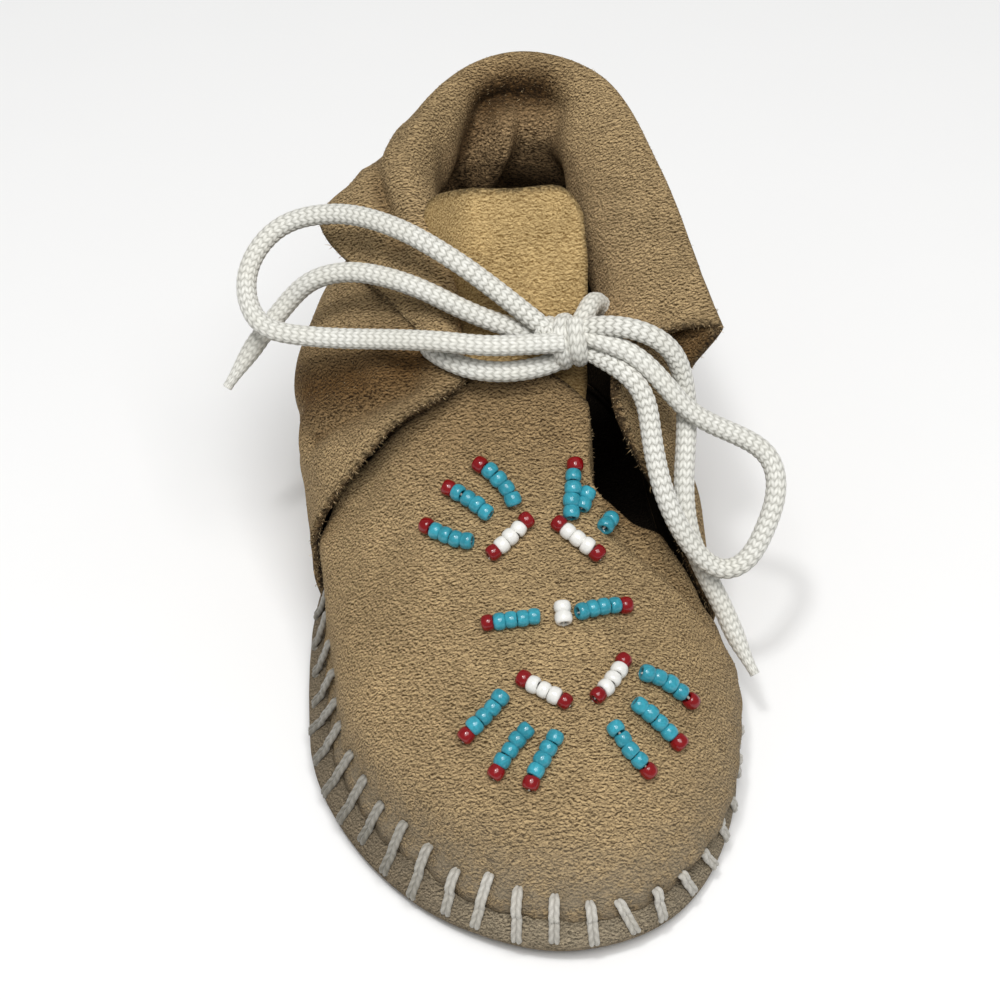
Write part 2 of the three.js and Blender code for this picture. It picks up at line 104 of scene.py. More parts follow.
TONGUE_CORNERS, CORNER_FALL, TOP_DIP, DIP_REACH, DIP_AT = (18, 7), 0.8, 0.35, 0.5, 0.1
TONGUE_TUCK, TUCK_FALL, TUCK_ACROSS, TUCK_ALONG = 6.5, 0.9, (0.4, 1.1), (0.3, 0.8)

# Sole's section from the middle of the floor over the rim to the middle of the underside: inset, height
SOLE_SECTION = (
    (13, FLOOR), (5, FLOOR), (2.4, FLOOR + 1.4), (RIM_LEAN + LEATHER + 0.1, RIM_TOP), (RIM_LEAN, RIM_TOP),
    (0.1, 4.8), (-0.5, 3.2), (0.1, 1.3), (1.6, 0.25), (3.4, 0), (13, 0),
)
# Columns round the toe, along the right side, round the heel and along the left; rows of the section, and where the
# inside ends, the seam and the rim's face begin, the rim ends and the underside lies
SOLE_STOPS = (150, 60, 90, 60)
SOLE_ROWS, INSIDE_END, SEAM_ROW, RIM_START, RIM_END, UNDER_ROWS = 61, 20, 17, 24, 42, (44, 56)

# The lace: the middle of its knot, the knot's own turns, and the points that each stretch runs by from the knot on
KNOT_AT = (9.8, 11, 51.7)
KNOT_AXIS, KNOT_FACING = (0.95, -0.12, 0.28), (0.0, 1.0, 0.25)
KNOT_START, KNOT_TURNS, KNOT_HIGH, KNOT_DEEP, KNOT_RISE, KNOT_PRESSED = -0.3, 2.1, 3.7, 3.1, 0.38, 0.95
LACE = {
    "lace_loop_left": (
        (5.1, 12.4, 55), (-0.6, 16.4, 58.4), (-6.4, 20, 61.6), (-14.4, 27, 62.6), (-23.1, 33.6, 60.6),
        (-31.4, 35.2, 57.6), (-36.3, 31.2, 54.2), (-37.2, 25.8, 51.6), (-35, 20.8, 50), (-29.9, 18.2, 50.2),
        (-22.8, 16.2, 50.6), (-16.6, 13.8, 52), (-9, 10, 54.2), (-2, 8, 54.4), (4.7, 8.2, 54),
    ),
    "lace_loop_right": (
        (14.4, 8, 50.8), (18.6, 3.6, 50.4), (20.6, 1.6, 47.6), (21, -2.4, 43.2), (22.4, -9, 37.2), (26.4, -13, 30),
        (30.3, -14.8, 26.6), (34.2, -14.2, 27.5), (37.1, -11.2, 30.5), (39.7, -6.7, 35), (39.2, -2.5, 38),
        (35.4, -0.8, 40.4), (30.8, 0.4, 42.4), (26.6, 1.4, 45.2), (22.8, 3.4, 49.8), (19, 5.8, 53), (14.6, 8.4, 53.6),
    ),
    "lace_end_left": (
        (0.8, 14.2, 52.8), (-5.2, 16.2, 54.8), (-10.6, 19, 56.6), (-16, 22.6, 56.6), (-22.1, 26, 55.4),
        (-27.6, 27.4, 52.8), (-31.6, 27.4, 48.2), (-35.6, 25.4, 44.2), (-39, 23.2, 40.4), (-41.4, 21.6, 37.6),
    ),
    "lace_end_right": (
        (21.4, 7, 55.6), (24.8, 6.4, 52.8), (26.6, 5.8, 48.4), (27.2, 3.8, 43.6), (26.6, -0.6, 39), (25.8, -5.2, 34.8),
        (26.2, -9.4, 29.8), (28.4, -12.4, 24.4), (31, -15.2, 19.4), (33, -18.8, 15.2), (35.2, -23, 12),
    ),
}

# The ankle strands from the knot into the lace holes
ANKLE_STRANDS = {
    "lace_bar_left": (
        (-9.6, 18.5, 45.6), (-10.6, 15.8, 48.2), (-8.8, 12, 49.4), (-5.2, 9, 49.4), (0, 7.8, 49.2), (5, 8.2, 49.2),
        (8.4, 9.2, 49.4), (11, 10.2, 50),
    ),
    "lace_bar_right": (
        (11, 11.6, 52.6), (12.8, 13.4, 53.6), (14, 16.6, 54), (15.6, 19, 52.4), (16.6, 19.6, 50), (18, 18.4, 47.8),
        (20.6, 17, 46),
    ),
}

# How far a stretch runs on into the knot, and where the right end starts behind it
KNOT_BITE = {"lace_loop_left": 4.2, "lace_loop_right": 3.4, "lace_end_left": 7.4}
END_BEHIND = ((11.6, 10.6, 54.4), (16.6, 8.6, 56.2))

# Bead rows: the first bead's place over the vamp, the way the row runs in degrees, and its beads in turn
FAN_ROW, CHEVRON_ROW, WHITE_PAIR = "rtttt", "rwwwr", "ww"
BEAD_PITCH = 1.6625
BEAD_ROWS = {
    "bead_fan_upper_left_1": ((-12.6, -6.4), -34, FAN_ROW),
    "bead_fan_upper_left_2": ((-9, -2.2), -41, FAN_ROW),
    "bead_fan_upper_left_3": ((-4.2, -0.2), -50, FAN_ROW),
    "bead_fan_upper_right_1": ((14.4, -7.6), 236, FAN_ROW[3:]),
    "bead_fan_upper_right_2": ((11.0, -4.8), 247, FAN_ROW[3:]),
    "bead_fan_upper_right_3": ((9.6, -1.0), 260, FAN_ROW),
    "bead_chevron_upper_left": ((-3.5, -12.4), 37, CHEVRON_ROW),
    "bead_chevron_upper_right": ((11.6, -13.4), 140, CHEVRON_ROW),
    "bead_bar_left": ((-5.3, -22.8), 1, FAN_ROW),
    "bead_bar_right": ((14.9, -20.9), 192, FAN_ROW),
    "bead_pair_middle": ((5.6, -21.5), -92, WHITE_PAIR),
    "bead_chevron_lower_left": ((-1.1, -31.5), -35, CHEVRON_ROW),
    "bead_chevron_lower_right": ((13.4, -29.6), 231, CHEVRON_ROW),
    "bead_fan_lower_left_1": ((-9.9, -37.8), 37, FAN_ROW),
    "bead_fan_lower_left_2": ((-6.2, -43.4), 46, FAN_ROW),
    "bead_fan_lower_left_3": ((-1.5, -45.5), 54, FAN_ROW),
    "bead_fan_lower_right_1": ((22.8, -33.4), 160, FAN_ROW),
    "bead_fan_lower_right_2": ((20.3, -39.8), 144, FAN_ROW),
    "bead_fan_lower_right_3": ((15.1, -44.5), 127, FAN_ROW),
}

# Creases: the line, half width and depth; a negative depth stands out. A low swell lies beside a trough
SWELL, SWELL_AT = 0.3, 2
VAMP_CREASES = (
    (((15.5, -8.4, 31.3), (19, -10.2, 28.9), (23.5, -12, 25), (28.5, -14.5, 18)), 1.7, 1.7),
    (((17, -5.6, 31.5), (23, -8.4, 27), (28, -11.5, 20)), 2.4, -0.9),
    (((10, -14, 31), (14, -19, 29)), 0.7, 0.25),
    (((-18, -6, 30), (-25, -20, 22)), 4.0, 0.4),
    (((2, 2, 39), (10, 1, 38.5)), 2.4, 0.6),
    (((-22, -40, 15), (-8, -52, 17)), 5.0, -0.4),
    (((12, -52, 17), (24, -42, 15)), 5.0, -0.4),
)
# Where the left flank fills the room under the quarter: the line, half width and height
VAMP_SWELLS = ((((-22.6, 8.4, 26), (-24.2, 6.6, 22.4), (-25.8, 3.6, 20)), 4.6, 2.7),)
WRAP_CREASES = (
    (((-12.8, 10.1, 44.8), (-19.9, 11.6, 39.9), (-28, 13.6, 32.9)), 2.0, 1.7),
    (((-9.5, 7.8, 45.7), (-18.5, 6, 40), (-27.1, 7.2, 31.9)), 2.4, -0.8),
    (((-19, 16, 42.6), (-25, 18, 38), (-30.2, 21, 28)), 2.6, 1.0),
    (((-30, 12, 24), (-30, 5, 17)), 3.5, 0.6),
    (((1.2, 55.8, 62), (-2.4, 53.8, 57), (-4.4, 52.4, 50)), 3.0, -2.0),
    (((4.6, 56.6, 59.5), (3.5, 55.6, 55.5), (0.8, 56, 49)), 1.7, 2.2),
    (((5.6, 58, 63), (10.8, 57.3, 62.6), (15.5, 54.6, 62)), 3.2, -1.6),
    (((13.5, 53.8, 53), (17, 50, 51)), 4.0, -1.2),
    (((27, 0, 34), (30, -8, 20)), 3.0, 0.8),
    (((29, 30, 35), (29.5, 10, 28)), 5.0, 0.8),
    (((-26, 36, 34), (-28, 20, 26)), 5.0, 0.8),
    (((-12, 55, 36), (14, 60.5, 33)), 5.0, 0.7),
    (((-14, 53, 16), (16, 59, 15)), 4.5, 0.6),
    (((29.5, 24, 16), (30, 2, 14)), 4.5, 0.6),
    (((-11.6, 15, 47.2), (-11.6, 15.2, 47.3)), 2.4, 1.2),
)

# On the folded cuff the inner side shows, so that a negative depth is a trough there
CUFF_TROUGH = ((-13.8, 51, 58.8), (-15.7, 40.6, 59.4), (-14.8, 36, 57.4), (-13.6, 31.5, 55.6))
CUFF_CREASES = ((CUFF_TROUGH, 1.7, -1.3),)

# Plan of the gap beside the vamp's right edge, where the band of the heel wrap stands off: its left side and its foot
GAP_SIDE = {"y": (-13, -9, -4.5, -2.6, 0.4, 5.9, 11.4, 14), "x": (22.5, 17.5, 13.2, 12.0, 12.1, 12.8, 13.7, 13.9)}
GAP_FOOT = {"x": (12, 13.4, 17.2, 22, 30), "y": (-3.2, -4.6, -4.6, -3.4, -0.6)}
GAP_DEPTH, GAP_SLOPE, GAP_FLARE, FLARE_Y = 16.0, 1.6, 3.5, (-6, -1)
GAP_SOFT, GAP_LOW, DARK_BESIDE, DARK_ABOVE = (-4.0, 2.5), (12, 26), (0.25, 0.9), (-3.5, 2.0)

# Where the vamp lies in shade: the line, half width and strength
VAMP_SHADES = (
    (((16, -8.8, 31.3), (19, -10.2, 28.9), (23.5, -12, 25), (28.5, -14.5, 18)), 1.4, 0.8),
    (((-4, 5.5, 41), (3, 3.5, 40.5), (9, 2.5, 39.5)), 2.6, 0.4),
    (((14.4, -5.6, 32.6), (18, -6.6, 30.4), (22.5, -7.2, 26.5)), 2.2, 0.75),
)

# Where the quarter's outer side lies in the shade of the cuff: the line, half width and strength
QUARTER_SHADES = (
    (((-12.6, 14.2, 45.8), (-20.6, 15.2, 42.6), (-28.5, 19, 37.5)), 6.4, 1.0),
    (((-12.8, 10.3, 44.6), (-19.9, 11.8, 39.9), (-28, 13.8, 33)), 1.9, 0.65),
    (((-30, 6, 15), (-30, 3, 9)), 4.0, 0.5),
)

# Where the collar's inner side lies in deep shade: the line, half width and strength
COLLAR_SHADES = (
    (((2.5, 56.8, 63.2), (5.9, 58.2, 64), (11, 57.8, 63.8)), 4.3, 1.0),
    (CUFF_TROUGH, 1.5, 0.5),
    (((0.8, 55.6, 61.5), (-2.6, 53.6, 56.5), (-4.5, 52, 50.5)), 2.6, 0.75),
    (((6.5, 56, 55), (5, 56, 49)), 2.4, 0.5),
    (((12.5, 53.8, 51.5), (17.5, 49, 52)), 3.0, 0.5),
)

# How the cuff differs from an even fold: the way that it moves, where up the wrap the move sets in and where it fades,
# the share that is kept beyond, and places along the wrap with the move there in millimetres
NO_FADE = (2, 3)
CUFF_MOVES = {
    "crest rises": (
        (0, 0, 1), (0.6, 0.78), (0.88, 1.0), 0, (0.2, 0.333, 0.4, 0.47, 0.556, 0.65, 0.74),
        (0, 0.3, 0.6, 0.6, 0.4, 0.2, 0)),
    "left roll leans on the tongue": (
        (1, 0, 0), (0.38, 0.58), (0.85, 1.0), 0.5, (0, 0.08, 0.2, 0.33, 0.4, 0.5), (0, 1.6, 3.2, 2.6, 1.6, 0)),
    "left lip leans": (
        (1, 0, 0), (0.42, 0.6), (0.7, 0.84), 0, (0, 0.06, 0.14, 0.28, 0.36, 0.42), (0, 0.8, 2.2, 2.4, 1.6, 0)),
    "left wall fills": (
        (-1, 0, 0), (0.18, 0.33), (0.42, 0.56), 0, (0, 0.08, 0.14, 0.22, 0.3, 0.42), (0.6, 2.2, 3.4, 3.4, 2.4, 0)),
    "left flap lifts": (
        (0, 0.6, 1), (0.84, 0.95), NO_FADE, 0, (0.1, 0.17, 0.22, 0.28, 0.33, 0.37, 0.41, 0.46),
        (0, 2.0, 3.4, 4.6, 4.0, 1.8, 0.3, 0)),
    "right hem turns in": (
        (-1, 0, 0), (0.8, 1.0), NO_FADE, 0, (0.58, 0.72, 0.82, 0.9, 0.96, 1.0), (0, 2.4, 5.0, 6.6, 5.0, 2.4)),
    "right band leans in": (
        (-1, 0, 0), (0.36, 0.56), (0.68, 0.82), 0, (0.6, 0.7, 0.8, 0.9, 0.97), (0, 4.0, 6.0, 4.6, 0)),
}

# Slack of each leather: height, wavelength and seed of its slow waves
SLACK = {
    "sole": ((0.12, 14.0, 11),), "vamp": ((0.28, 26.0, 3), (0.1, 9.0, 4)), "wall": ((0.4, 34.0, 21), (0.16, 12.0, 22)),
    "hem": ((0.6, 16.0, 23),), "tongue": ((0.3, 15.0, 31), (0.1, 5.0, 32)),
}

# Columns and rows of the leathers, coarser ones for the hairs on them, and how many hairs lie on each
VAMP_GRID, WRAP_GRID, TONGUE_GRID = (280, 105), (270, 140), (90, 20, 110)
VAMP_HAIR_GRID, WRAP_HAIR_GRID, EDGE_HAIR_GRID = (160, 80), (160, 90), (180, 120)
VAMP_HAIRS, WALL_HAIRS, CUFF_HAIRS = 9000, 7000, 6000
CUFF_ROWS = slice(56, 90)

# Seam: the places of its first and last stitch, how far the stitches draw it in, and how far the vamp stands over it
STITCHED = (-0.47, 1.2)
SEAM_PRESS = {"place": (-0.6, -0.4, -0.2, 0.1, 0.3, 0.6, 0.8, 1.0), "in": (0, 1.0, 1.9, 2.0, 1.4, 0.9, 0.4, 0)}
PRESS_START, PRESS_HEIGHT = 1.8, 15.0
VAMP_BULGE = {
    "place": (-0.5, -0.2, 0.1, 0.35, 0.5, 0.6, 0.72, 0.85, 1.0, 1.15, 1.3),
    "out": (0, -0.6, -1.3, -1.2, -0.5, 0.6, 2.0, 2.7, 2.6, 1.8, 0.6),
}
BULGE_RISE, BULGE_REACH = 4.5, 5.0
# Heights and reaches of the vamp's lip over the rim, its drop, the puckers of rim and vamp, the pinch and the holes
SEAM_LIP, LIP_DROP, RIM_PUCKER, VAMP_PUCKER = (0.5, 1.0), (0.45, 0.8), (0.28, 2.0), (0.22, 4.0)
SEAM_PINCH, STITCH_HOLE = (0.12, 0.8), (0.6, 0.8)

# Whip stitches: heights of the upper and lower hole along the seam, the rim's face, and the spread of the draws
STITCH_TOP = {"place": (-0.47, 0, 0.25, 0.5, 0.75, 1.0, 1.2), "z": (10.6, 10.0, 9.2, 8.0, 7.7, 8.4, 9.0)}
STITCH_LOW = {"place": (-0.47, 0, 0.3, 0.6, 1.2), "z": (4.2, 3.8, 3.3, 3.2, 3.2)}
RIM_FACE = {"z": (0.3, 1.3, 3.2, 4.8, 6.0), "inset": (1.5, 0.1, -0.5, 0.1, RIM_LEAN)}
STRAY_ALONG, STRAY_TOP, STRAY_LOW, STITCH_LEAN = 0.25, 0.4, 0.3, (0.45, 0.35)
# Thread: spacing of its rings and places round it, length and depth of its twist, and the painted shade in the twist's
# grooves
THREAD_STEP, THREAD_AROUND, TWIST_LENGTH, TWIST_DEPTH, TWIST_GROOVE_SHADE = 0.22, 12, 1.3, 0.022, 0.4
# How a thread lies over the seam, how deep it dives into its holes, its plies and taper, how much greyer it grows
# towards its lower hole, and the painted shade on the stitches of the left flank
THREAD_PULL, THREAD_OVER, THREAD_CLEAR, HOLE_OVER, HOLE_DIVE = 0.4, 0.35, 0.42, (0.15, 0.2), (1.2, 1.3)
PLY_APART, PLY_RADIUS, END_TAPER, END_WIDTH = 0.25, 0.27, 0.35, 0.65
THREAD_LOW_GREY, LOW_GREY_FROM, THREAD_LEFT_SHADE, THREAD_SHADE_FROM = 0.9, (0.25, 0.9), 1.6, (8, 24)

# Lace cord: spacing of its rings, places round it, passes that ease its line, taper of a bare tip, and its plait
CORD_STEP, CORD_AROUND, EASE_PASSES, TIP_TAPER = 0.2, 48, 220, 8.0
BRAID_COLUMNS, BRAID_PITCH, BRAID_DEPTH, BRAID_LEVEL = 8, 1.2, 0.17, 0.75

# Beads: bed in the leather, height of the middle over it, places round the outline and round the bead
BED_WIDTH, BED_DEPTH, BEAD_SEAT = 1.5, 0.3, 0.86
BEAD_OUTLINE, BEAD_AROUND, BEAD_THREAD = 16, 22, 0.2
# How the beads of a row differ: bow of the row, stray, tilt, size and length; and how tightly they fill the thread
ROW_BOW, BEAD_STRAY, BEAD_TILT, BEAD_SIZES, BEAD_LENGTHS = 0.1, 0.05, 0.1, (0.94, 1.05), (0.94, 1.03)
RED_LENGTH, BEAD_FILL, LONGEST_BEAD, THREAD_DIVE = 0.98, 1.06, 2.0, 0.8

# Hairs of the nap: length, radius and rise; the suede's grain in the shader, and the way and strength of the light and
# shade painted on each tuft
HAIR_LENGTH, HAIR_RADIUS, HAIR_RISE, HAIR_LAY = 0.45, 0.05, (0.1, 0.3), (1.0, 0.25, 0.0)
NAP_LAY, NAP_CURL, NAP_GRAIN, NAP_PAINTED_LIGHT, NAP_PAINTED_RELIEF = (0.7, 1.05, 1.05), 1.5, (0.85, 2.0, 0.55), (0.06, 0.5, 0.3), 1.9
FLESH_TUFTS = 0.9

# Colours of cut edges, also used for the deepest painted shade, of painted shade and of soil on the suede, and how dark
# and wide its cut edges are
EDGE_AND_DEEP_SHADE_COLOUR, SHADE_COLOUR, SOIL_COLOUR = (0.008, 0.005, 0.003), (0.31, 0.225, 0.14), (0.2, 0.172, 0.128)
EDGE_DARK, EDGE_REACH = 0.75, 0.6

# Marks on the sole: strength, reach and height of fuzz at the seam and of painted shade at the foot, then painted
# shades, where the inside is painted black, soil and the floor's level
SEAM_FUZZ, FOOT_SHADE, UNDER_SHADE, INSIDE_SHADE = (0.25, 0.5, RIM_TOP), (0.4, 1.5, 1.0), 0.5, 0.6
LEFT_SHADE, LEFT_FROM, DEEP_FROM, RIM_SOIL, LEVEL_FLOOR = 0.3, (6, 24), (12, 19), 0.4, 1.2
# Marks on the vamp: fuzz at the stitch holes, a painted shadow under the quarter's edge, painted shade and soil at the
# seam, painted shade in the throat, and painted shade and near black in the gap
HOLE_FUZZ, COVER_REACH, COVER_SHADOW, COVERED = 0.75, 2.0, 0.9, (0.5, 0.85)
SEAM_SHADE, SEWN_EDGE, VAMP_SOIL, SOIL_FADE = (0.25, 1.2), (0.75, 1.5), (0.8, 7.5), (-26, -6)
THROAT_SHADE, THROAT_FROM, GAP_SHADE, GAP_BLACK = 0.4, (31, 43), 0.6, (0.2, 0.8)
# Marks on the heel wrap, by the share of the way up it: where the inside ends, where painted shade darkens it and where
# it is painted black
WITHIN_ENDS, LOW_ENDS, BLACK_ENDS, FLESH_ENDS = (0.74, 0.82), (0.4, 0.62), (0.12, 0.3), (0.6, 0.76)
BLACK_FROM = (0.8, 0.88)
# Strength of the painted shade low inside and how its near black sets in, share of the flesh colour, near black of the
# collar's deepest painted shade; painted shade under the cuff and where it sets in, and where the quarter's painted
# shade ends
LOW_SHADE, LOW_SHADE_POWER, FLESH_SHARE, COLLAR_DEEP_SHADE = 0.62, 1.2, 0.9, 0.75
CUFF_SHADE, CUFF_UNDER, QUARTER_ENDS = 0.85, (0.84, 0.9), 0.7

# Studio: lights with place, size and power; the camera's place, aim, lens and shift
SENSOR, LENS, SHIFT = 36, 81.03, (-0.0083, 0.0238)
EYE, AIM = (-25.05, -238.35, 273.2), (0, 0, 25)
LIGHTS = {"overhead": ((0.04, -0.36, 0.92), 0.6, 7.4), "window": ((-0.16, -0.2, 0.8), 0.08, 1.4)}
LIGHT_AIM, SKY, FLOOR_REACH = (0, 0, 0.02), 0.3, 3.0


class MoccasinSizes(bpy.types.PropertyGroup):
    """Sizes that a user would change"""

    def size(label, words, millimetres):
        return FloatProperty(name=label, description=words, default=millimetres * MM, unit="LENGTH", precision=5)

    lace: size("Lace", "Diameter of the lace", 3.0)
    bead: size("Bead", "Diameter of a bead", 2.6)
    stitch_pitch: size("Stitch pitch", "Distance between whip stitches", 5.7)
    stitch_width: size("Stitch width", "Width of a whip stitch", 1.5)
    nap: size("Nap", "Size of a tuft of the nap", 0.3)
    seed: IntProperty(name="Seed", description="Seed of all random draws", default=7)

    del size


class MoccasinColours(bpy.types.PropertyGroup):
    """Colours that a user would change"""

    def colour(label, words, value):
        return FloatVectorProperty(name=label, description=words, default=value, size=3, subtype="COLOR", min=0, max=1)

    # Tips and roots are the ends of each suede's colour range, which carries the nap's height and the light and shade
    # painted on each tuft
    suede_light: colour("Suede, tips", "Tips of the suede's nap", (0.575, 0.412, 0.214))
    suede_dark: colour("Suede, roots", "Roots of the suede's nap", (0.06, 0.036, 0.015))
    tongue_light: colour("Tongue, tips", "Tips of the tongue's nap", (0.66, 0.475, 0.222))
    tongue_dark: colour("Tongue, roots", "Roots of the tongue's nap", (0.18, 0.105, 0.033))
    flesh_light: colour("Inside, tips", "Tips of the nap inside", (0.6, 0.41, 0.215))
    flesh_dark: colour("Inside, roots", "Roots of the nap inside", (0.03, 0.014, 0.004))
    sole_light: colour("Sole, tips", "Tips of the sole's nap", (0.45, 0.365, 0.245))
    sole_dark: colour("Sole, roots", "Roots of the sole's nap", (0.04, 0.031, 0.018))
    fibre_light: colour("Fibres, pale", "Palest loose fibres", (0.62, 0.46, 0.26))
    fibre_dark: colour("Fibres, dark", "Darkest loose fibres", (0.16, 0.11, 0.055))
    lace: colour("Lace", "Lace yarn", (0.86, 0.852, 0.79))
    thread: colour("Thread", "Thread of the whip stitches", (0.58, 0.555, 0.5))
    turquoise: colour("Turquoise", "Turquoise beads", (0.035, 0.31, 0.4))
    red: colour("Red", "Red beads", (0.22, 0.0015, 0.004))
    white: colour("White", "White beads", (0.8, 0.79, 0.75))
    floor: colour("Floor", "Floor under the shoe", (0.92, 0.92, 0.915))

    del colour


def sizes():
    return bpy.context.scene.moccasin_sizes


def colours():
    return bpy.context.scene.moccasin_colours


# Numbers


def smoothstep(x, low, high):
    t = np.clip((x - low) / (high - low), 0, 1)
    return t * t * (3 - 2 * t)


def bell(x, reach, middle=0.0):
    return np.exp(-((x - middle) / reach) ** 2)


def unit(v):
    return v / np.maximum(np.linalg.norm(v, axis=-1, keepdims=True), 1e-12)


def eased(table, name, y, flat_ends=False):
    """Value of a named column between a table's rows, eased by its neighbours' slopes."""
    rows, v = np.asarray(table["y"], float), np.asarray(table[name], float)
    slope = np.empty(len(rows))
    slope[1:-1] = (v[2:] - v[:-2]) / (rows[2:] - rows[:-2])
    slope[0], slope[-1] = (v[1] - v[0]) / (rows[1] - rows[0]), (v[-1] - v[-2]) / (rows[-1] - rows[-2])
    if flat_ends:
        slope[0] = slope[-1] = 0
    i = np.clip(np.searchsorted(rows, y, side="left") - 1, 0, len(rows) - 2)
    h, rise = rows[i + 1] - rows[i], v[i + 1] - v[i]
    t = (y - rows[i]) / h
    return v[i] + t * rise + t * (1 - t) * ((1 - t) * (h * slope[i] - rise) + t * (rise - h * slope[i + 1]))


def catmull(points, t):
    """Smooth curve through points, eased by the distances between them; t runs from 0 to 1 over equal spans."""
    p = np.asarray(points, float)
    n = len(p)
    p = np.vstack([2 * p[:1] - p[1:2], p, 2 * p[-1:] - p[-2:-1]])
    at = np.clip(np.asarray(t, float), 0, 1) * (n - 1)
    i = np.minimum(at.astype(int), n - 2)
    w = (at - i)[:, None]
    p0, p1, p2, p3 = p[i], p[i + 1], p[i + 2], p[i + 3]
    d0, d1, d2 = (np.sqrt(np.linalg.norm(b - a, axis=1))[:, None] for a, b in ((p0, p1), (p1, p2), (p2, p3)))
    t1 = ((p1 - p0) / d0 - (p2 - p0) / (d0 + d1) + (p2 - p1) / d1) * d1
    t2 = ((p2 - p1) / d1 - (p3 - p1) / (d1 + d2) + (p3 - p2) / d2) * d1
    return p1 + w * (t1 + w * (3 * (p2 - p1) - 2 * t1 - t2 + w * (2 * (p1 - p2) + t1 + t2)))


def spline(values, t):
    """Smooth value through equally spaced values, with level ends repeated."""
    v = np.asarray(values, float)
    v = np.concatenate([v[:1], v, v[-1:]])
    at = np.clip(t, 0, 1) * (len(values) - 1)
    i = np.minimum(at.astype(int), len(values) - 2)
    w = at - i
    a, b = (v[i + 2] - v[i]) / 2, (v[i + 3] - v[i + 1]) / 2
    return v[i + 1] + w * (a + w * (3 * (v[i + 2] - v[i + 1]) - 2 * a - b + w * (2 * (v[i + 1] - v[i + 2]) + a + b)))


def run_along(line):
    """Way along a line of points to each of them."""
    return np.concatenate([[0], np.cumsum(np.linalg.norm(np.diff(line, axis=0), axis=1))])


def at_run(at, run, values):
    return np.stack([np.interp(at, run, values[:, k]) for k in range(3)], 1)


def evenly(line, step):
    """The line's points again, a step apart, and the way to each."""
    run = run_along(line)
    at = np.linspace(0, run[-1], max(4, int(round(run[-1] / step))) + 1)
    return at_run(at, run, line), at


def spread(grid):
    """Places over a leather with so many columns, falling so that normals point out, and rows."""
    return np.linspace(1, 0, grid[0]), np.linspace(0, 1, grid[1])


def ripple(points, wavelength, seed):
    """Slow unevenness, about -1 to 1, from a few crossing waves."""
    rng, waves = np.random.default_rng(seed), 7
    ways = unit(rng.normal(size=(waves, 3))) * 2 * math.pi / wavelength * rng.uniform(0.6, 1.5, (waves, 1))
    return np.sin(points @ ways.T + rng.uniform(0, 2 * math.pi, waves)).sum(-1) / math.sqrt(waves)


def slack(points, name):
    return sum(height * ripple(points, length, seed) for height, length, seed in SLACK[name])


# The last


def sole_edge(place):
    """Sole's edge: 0 to 1 round the toe, to 2 along the right side, to 3 round the heel, to 4 along the left."""
    u = np.mod(np.asarray(place, float), 4.0)
    part = np.minimum(np.floor(u).astype(int), 3)
    f = u - part
    y_right, y_left = BALL_Y + (HEEL_Y - BALL_Y) * f, HEEL_Y + (BALL_Y - HEEL_Y) * f
    right = np.stack([eased(SIDES, "right", y_right, True), y_right], -1)
    left = np.stack([eased(SIDES, "left", y_left, True), y_left], -1)
    arcs = []
    for toe in (True, False):
        row = 0 if toe else -1
        low, high = SIDES["left"][row], SIDES["right"][row]
        middle = RIDGE_X if toe else (low + high) / 2
        across = np.cos(f * math.pi) * (-1 if toe else 1)
        along = np.sin(f * math.pi)
        power = np.where(across < 0, TOE_POWER["left"], TOE_POWER["right"]) if toe else HEEL_POWER
        size = (np.abs(across) ** power + np.abs(along) ** power) ** (-1 / power)
        half = np.where(across < 0, middle - low, high - middle)
        y = BALL_Y - TOE_LENGTH * along * size if toe else HEEL_Y + HEEL_LENGTH * along * size
        arcs.append(np.stack([middle + half * across * size, y], -1))
    part = part[..., None]
    return np.where(part == 0, arcs[0], np.where(part == 1, right, np.where(part == 2, arcs[1], left)))


def sole_side(place):
    along = sole_edge(np.asarray(place) + 0.01) - sole_edge(np.asarray(place) - 0.01)
    return unit(np.stack([along[..., 1], -along[..., 0]], -1))


def lift(y):
    toe = np.maximum(0, (BALL_Y - TOE_LENGTH + TOE_SPRING_LENGTH - y) / TOE_SPRING_LENGTH)
    waist = np.maximum(0, 1 - ((y - WAIST_Y) / WAIST_REACH) ** 2)
    return TOE_SPRING * toe ** 2 + WAIST_LIFT * waist ** 2


def vamp_height(x, y):
    x, y = np.asarray(x, float), np.asarray(y, float)
    front = np.maximum(BALL_Y - y, 0) / (TOE_LENGTH - RIM_LEAN)
    heights = []
    for name in ("left", "right"):
        tuck = TUCK_DEPTH * smoothstep(y, *TUCK[name])
        half = np.abs(eased(SIDES, name, np.maximum(y, BALL_Y), True) - RIDGE_X) - tuck - RIM_LEAN
        power = TOE_POWER[name]
        reach = np.minimum(((np.abs(x - RIDGE_X) / half) ** power + front ** power) ** (1 / power), 1)
        dome = np.maximum(1 - reach ** DOME_IN, 0) ** (1 / DOME_OUT)
        seam = SEAM_Z + lift(y)
        heights.append(seam + (eased(RIDGE, "z", y) - seam) * dome)
    return np.where(x < RIDGE_X, *heights)


def vamp_places(f):
    return np.interp(np.asarray(f) * VAMP_STEPS[-1], VAMP_STEPS, VAMP_PLACES)


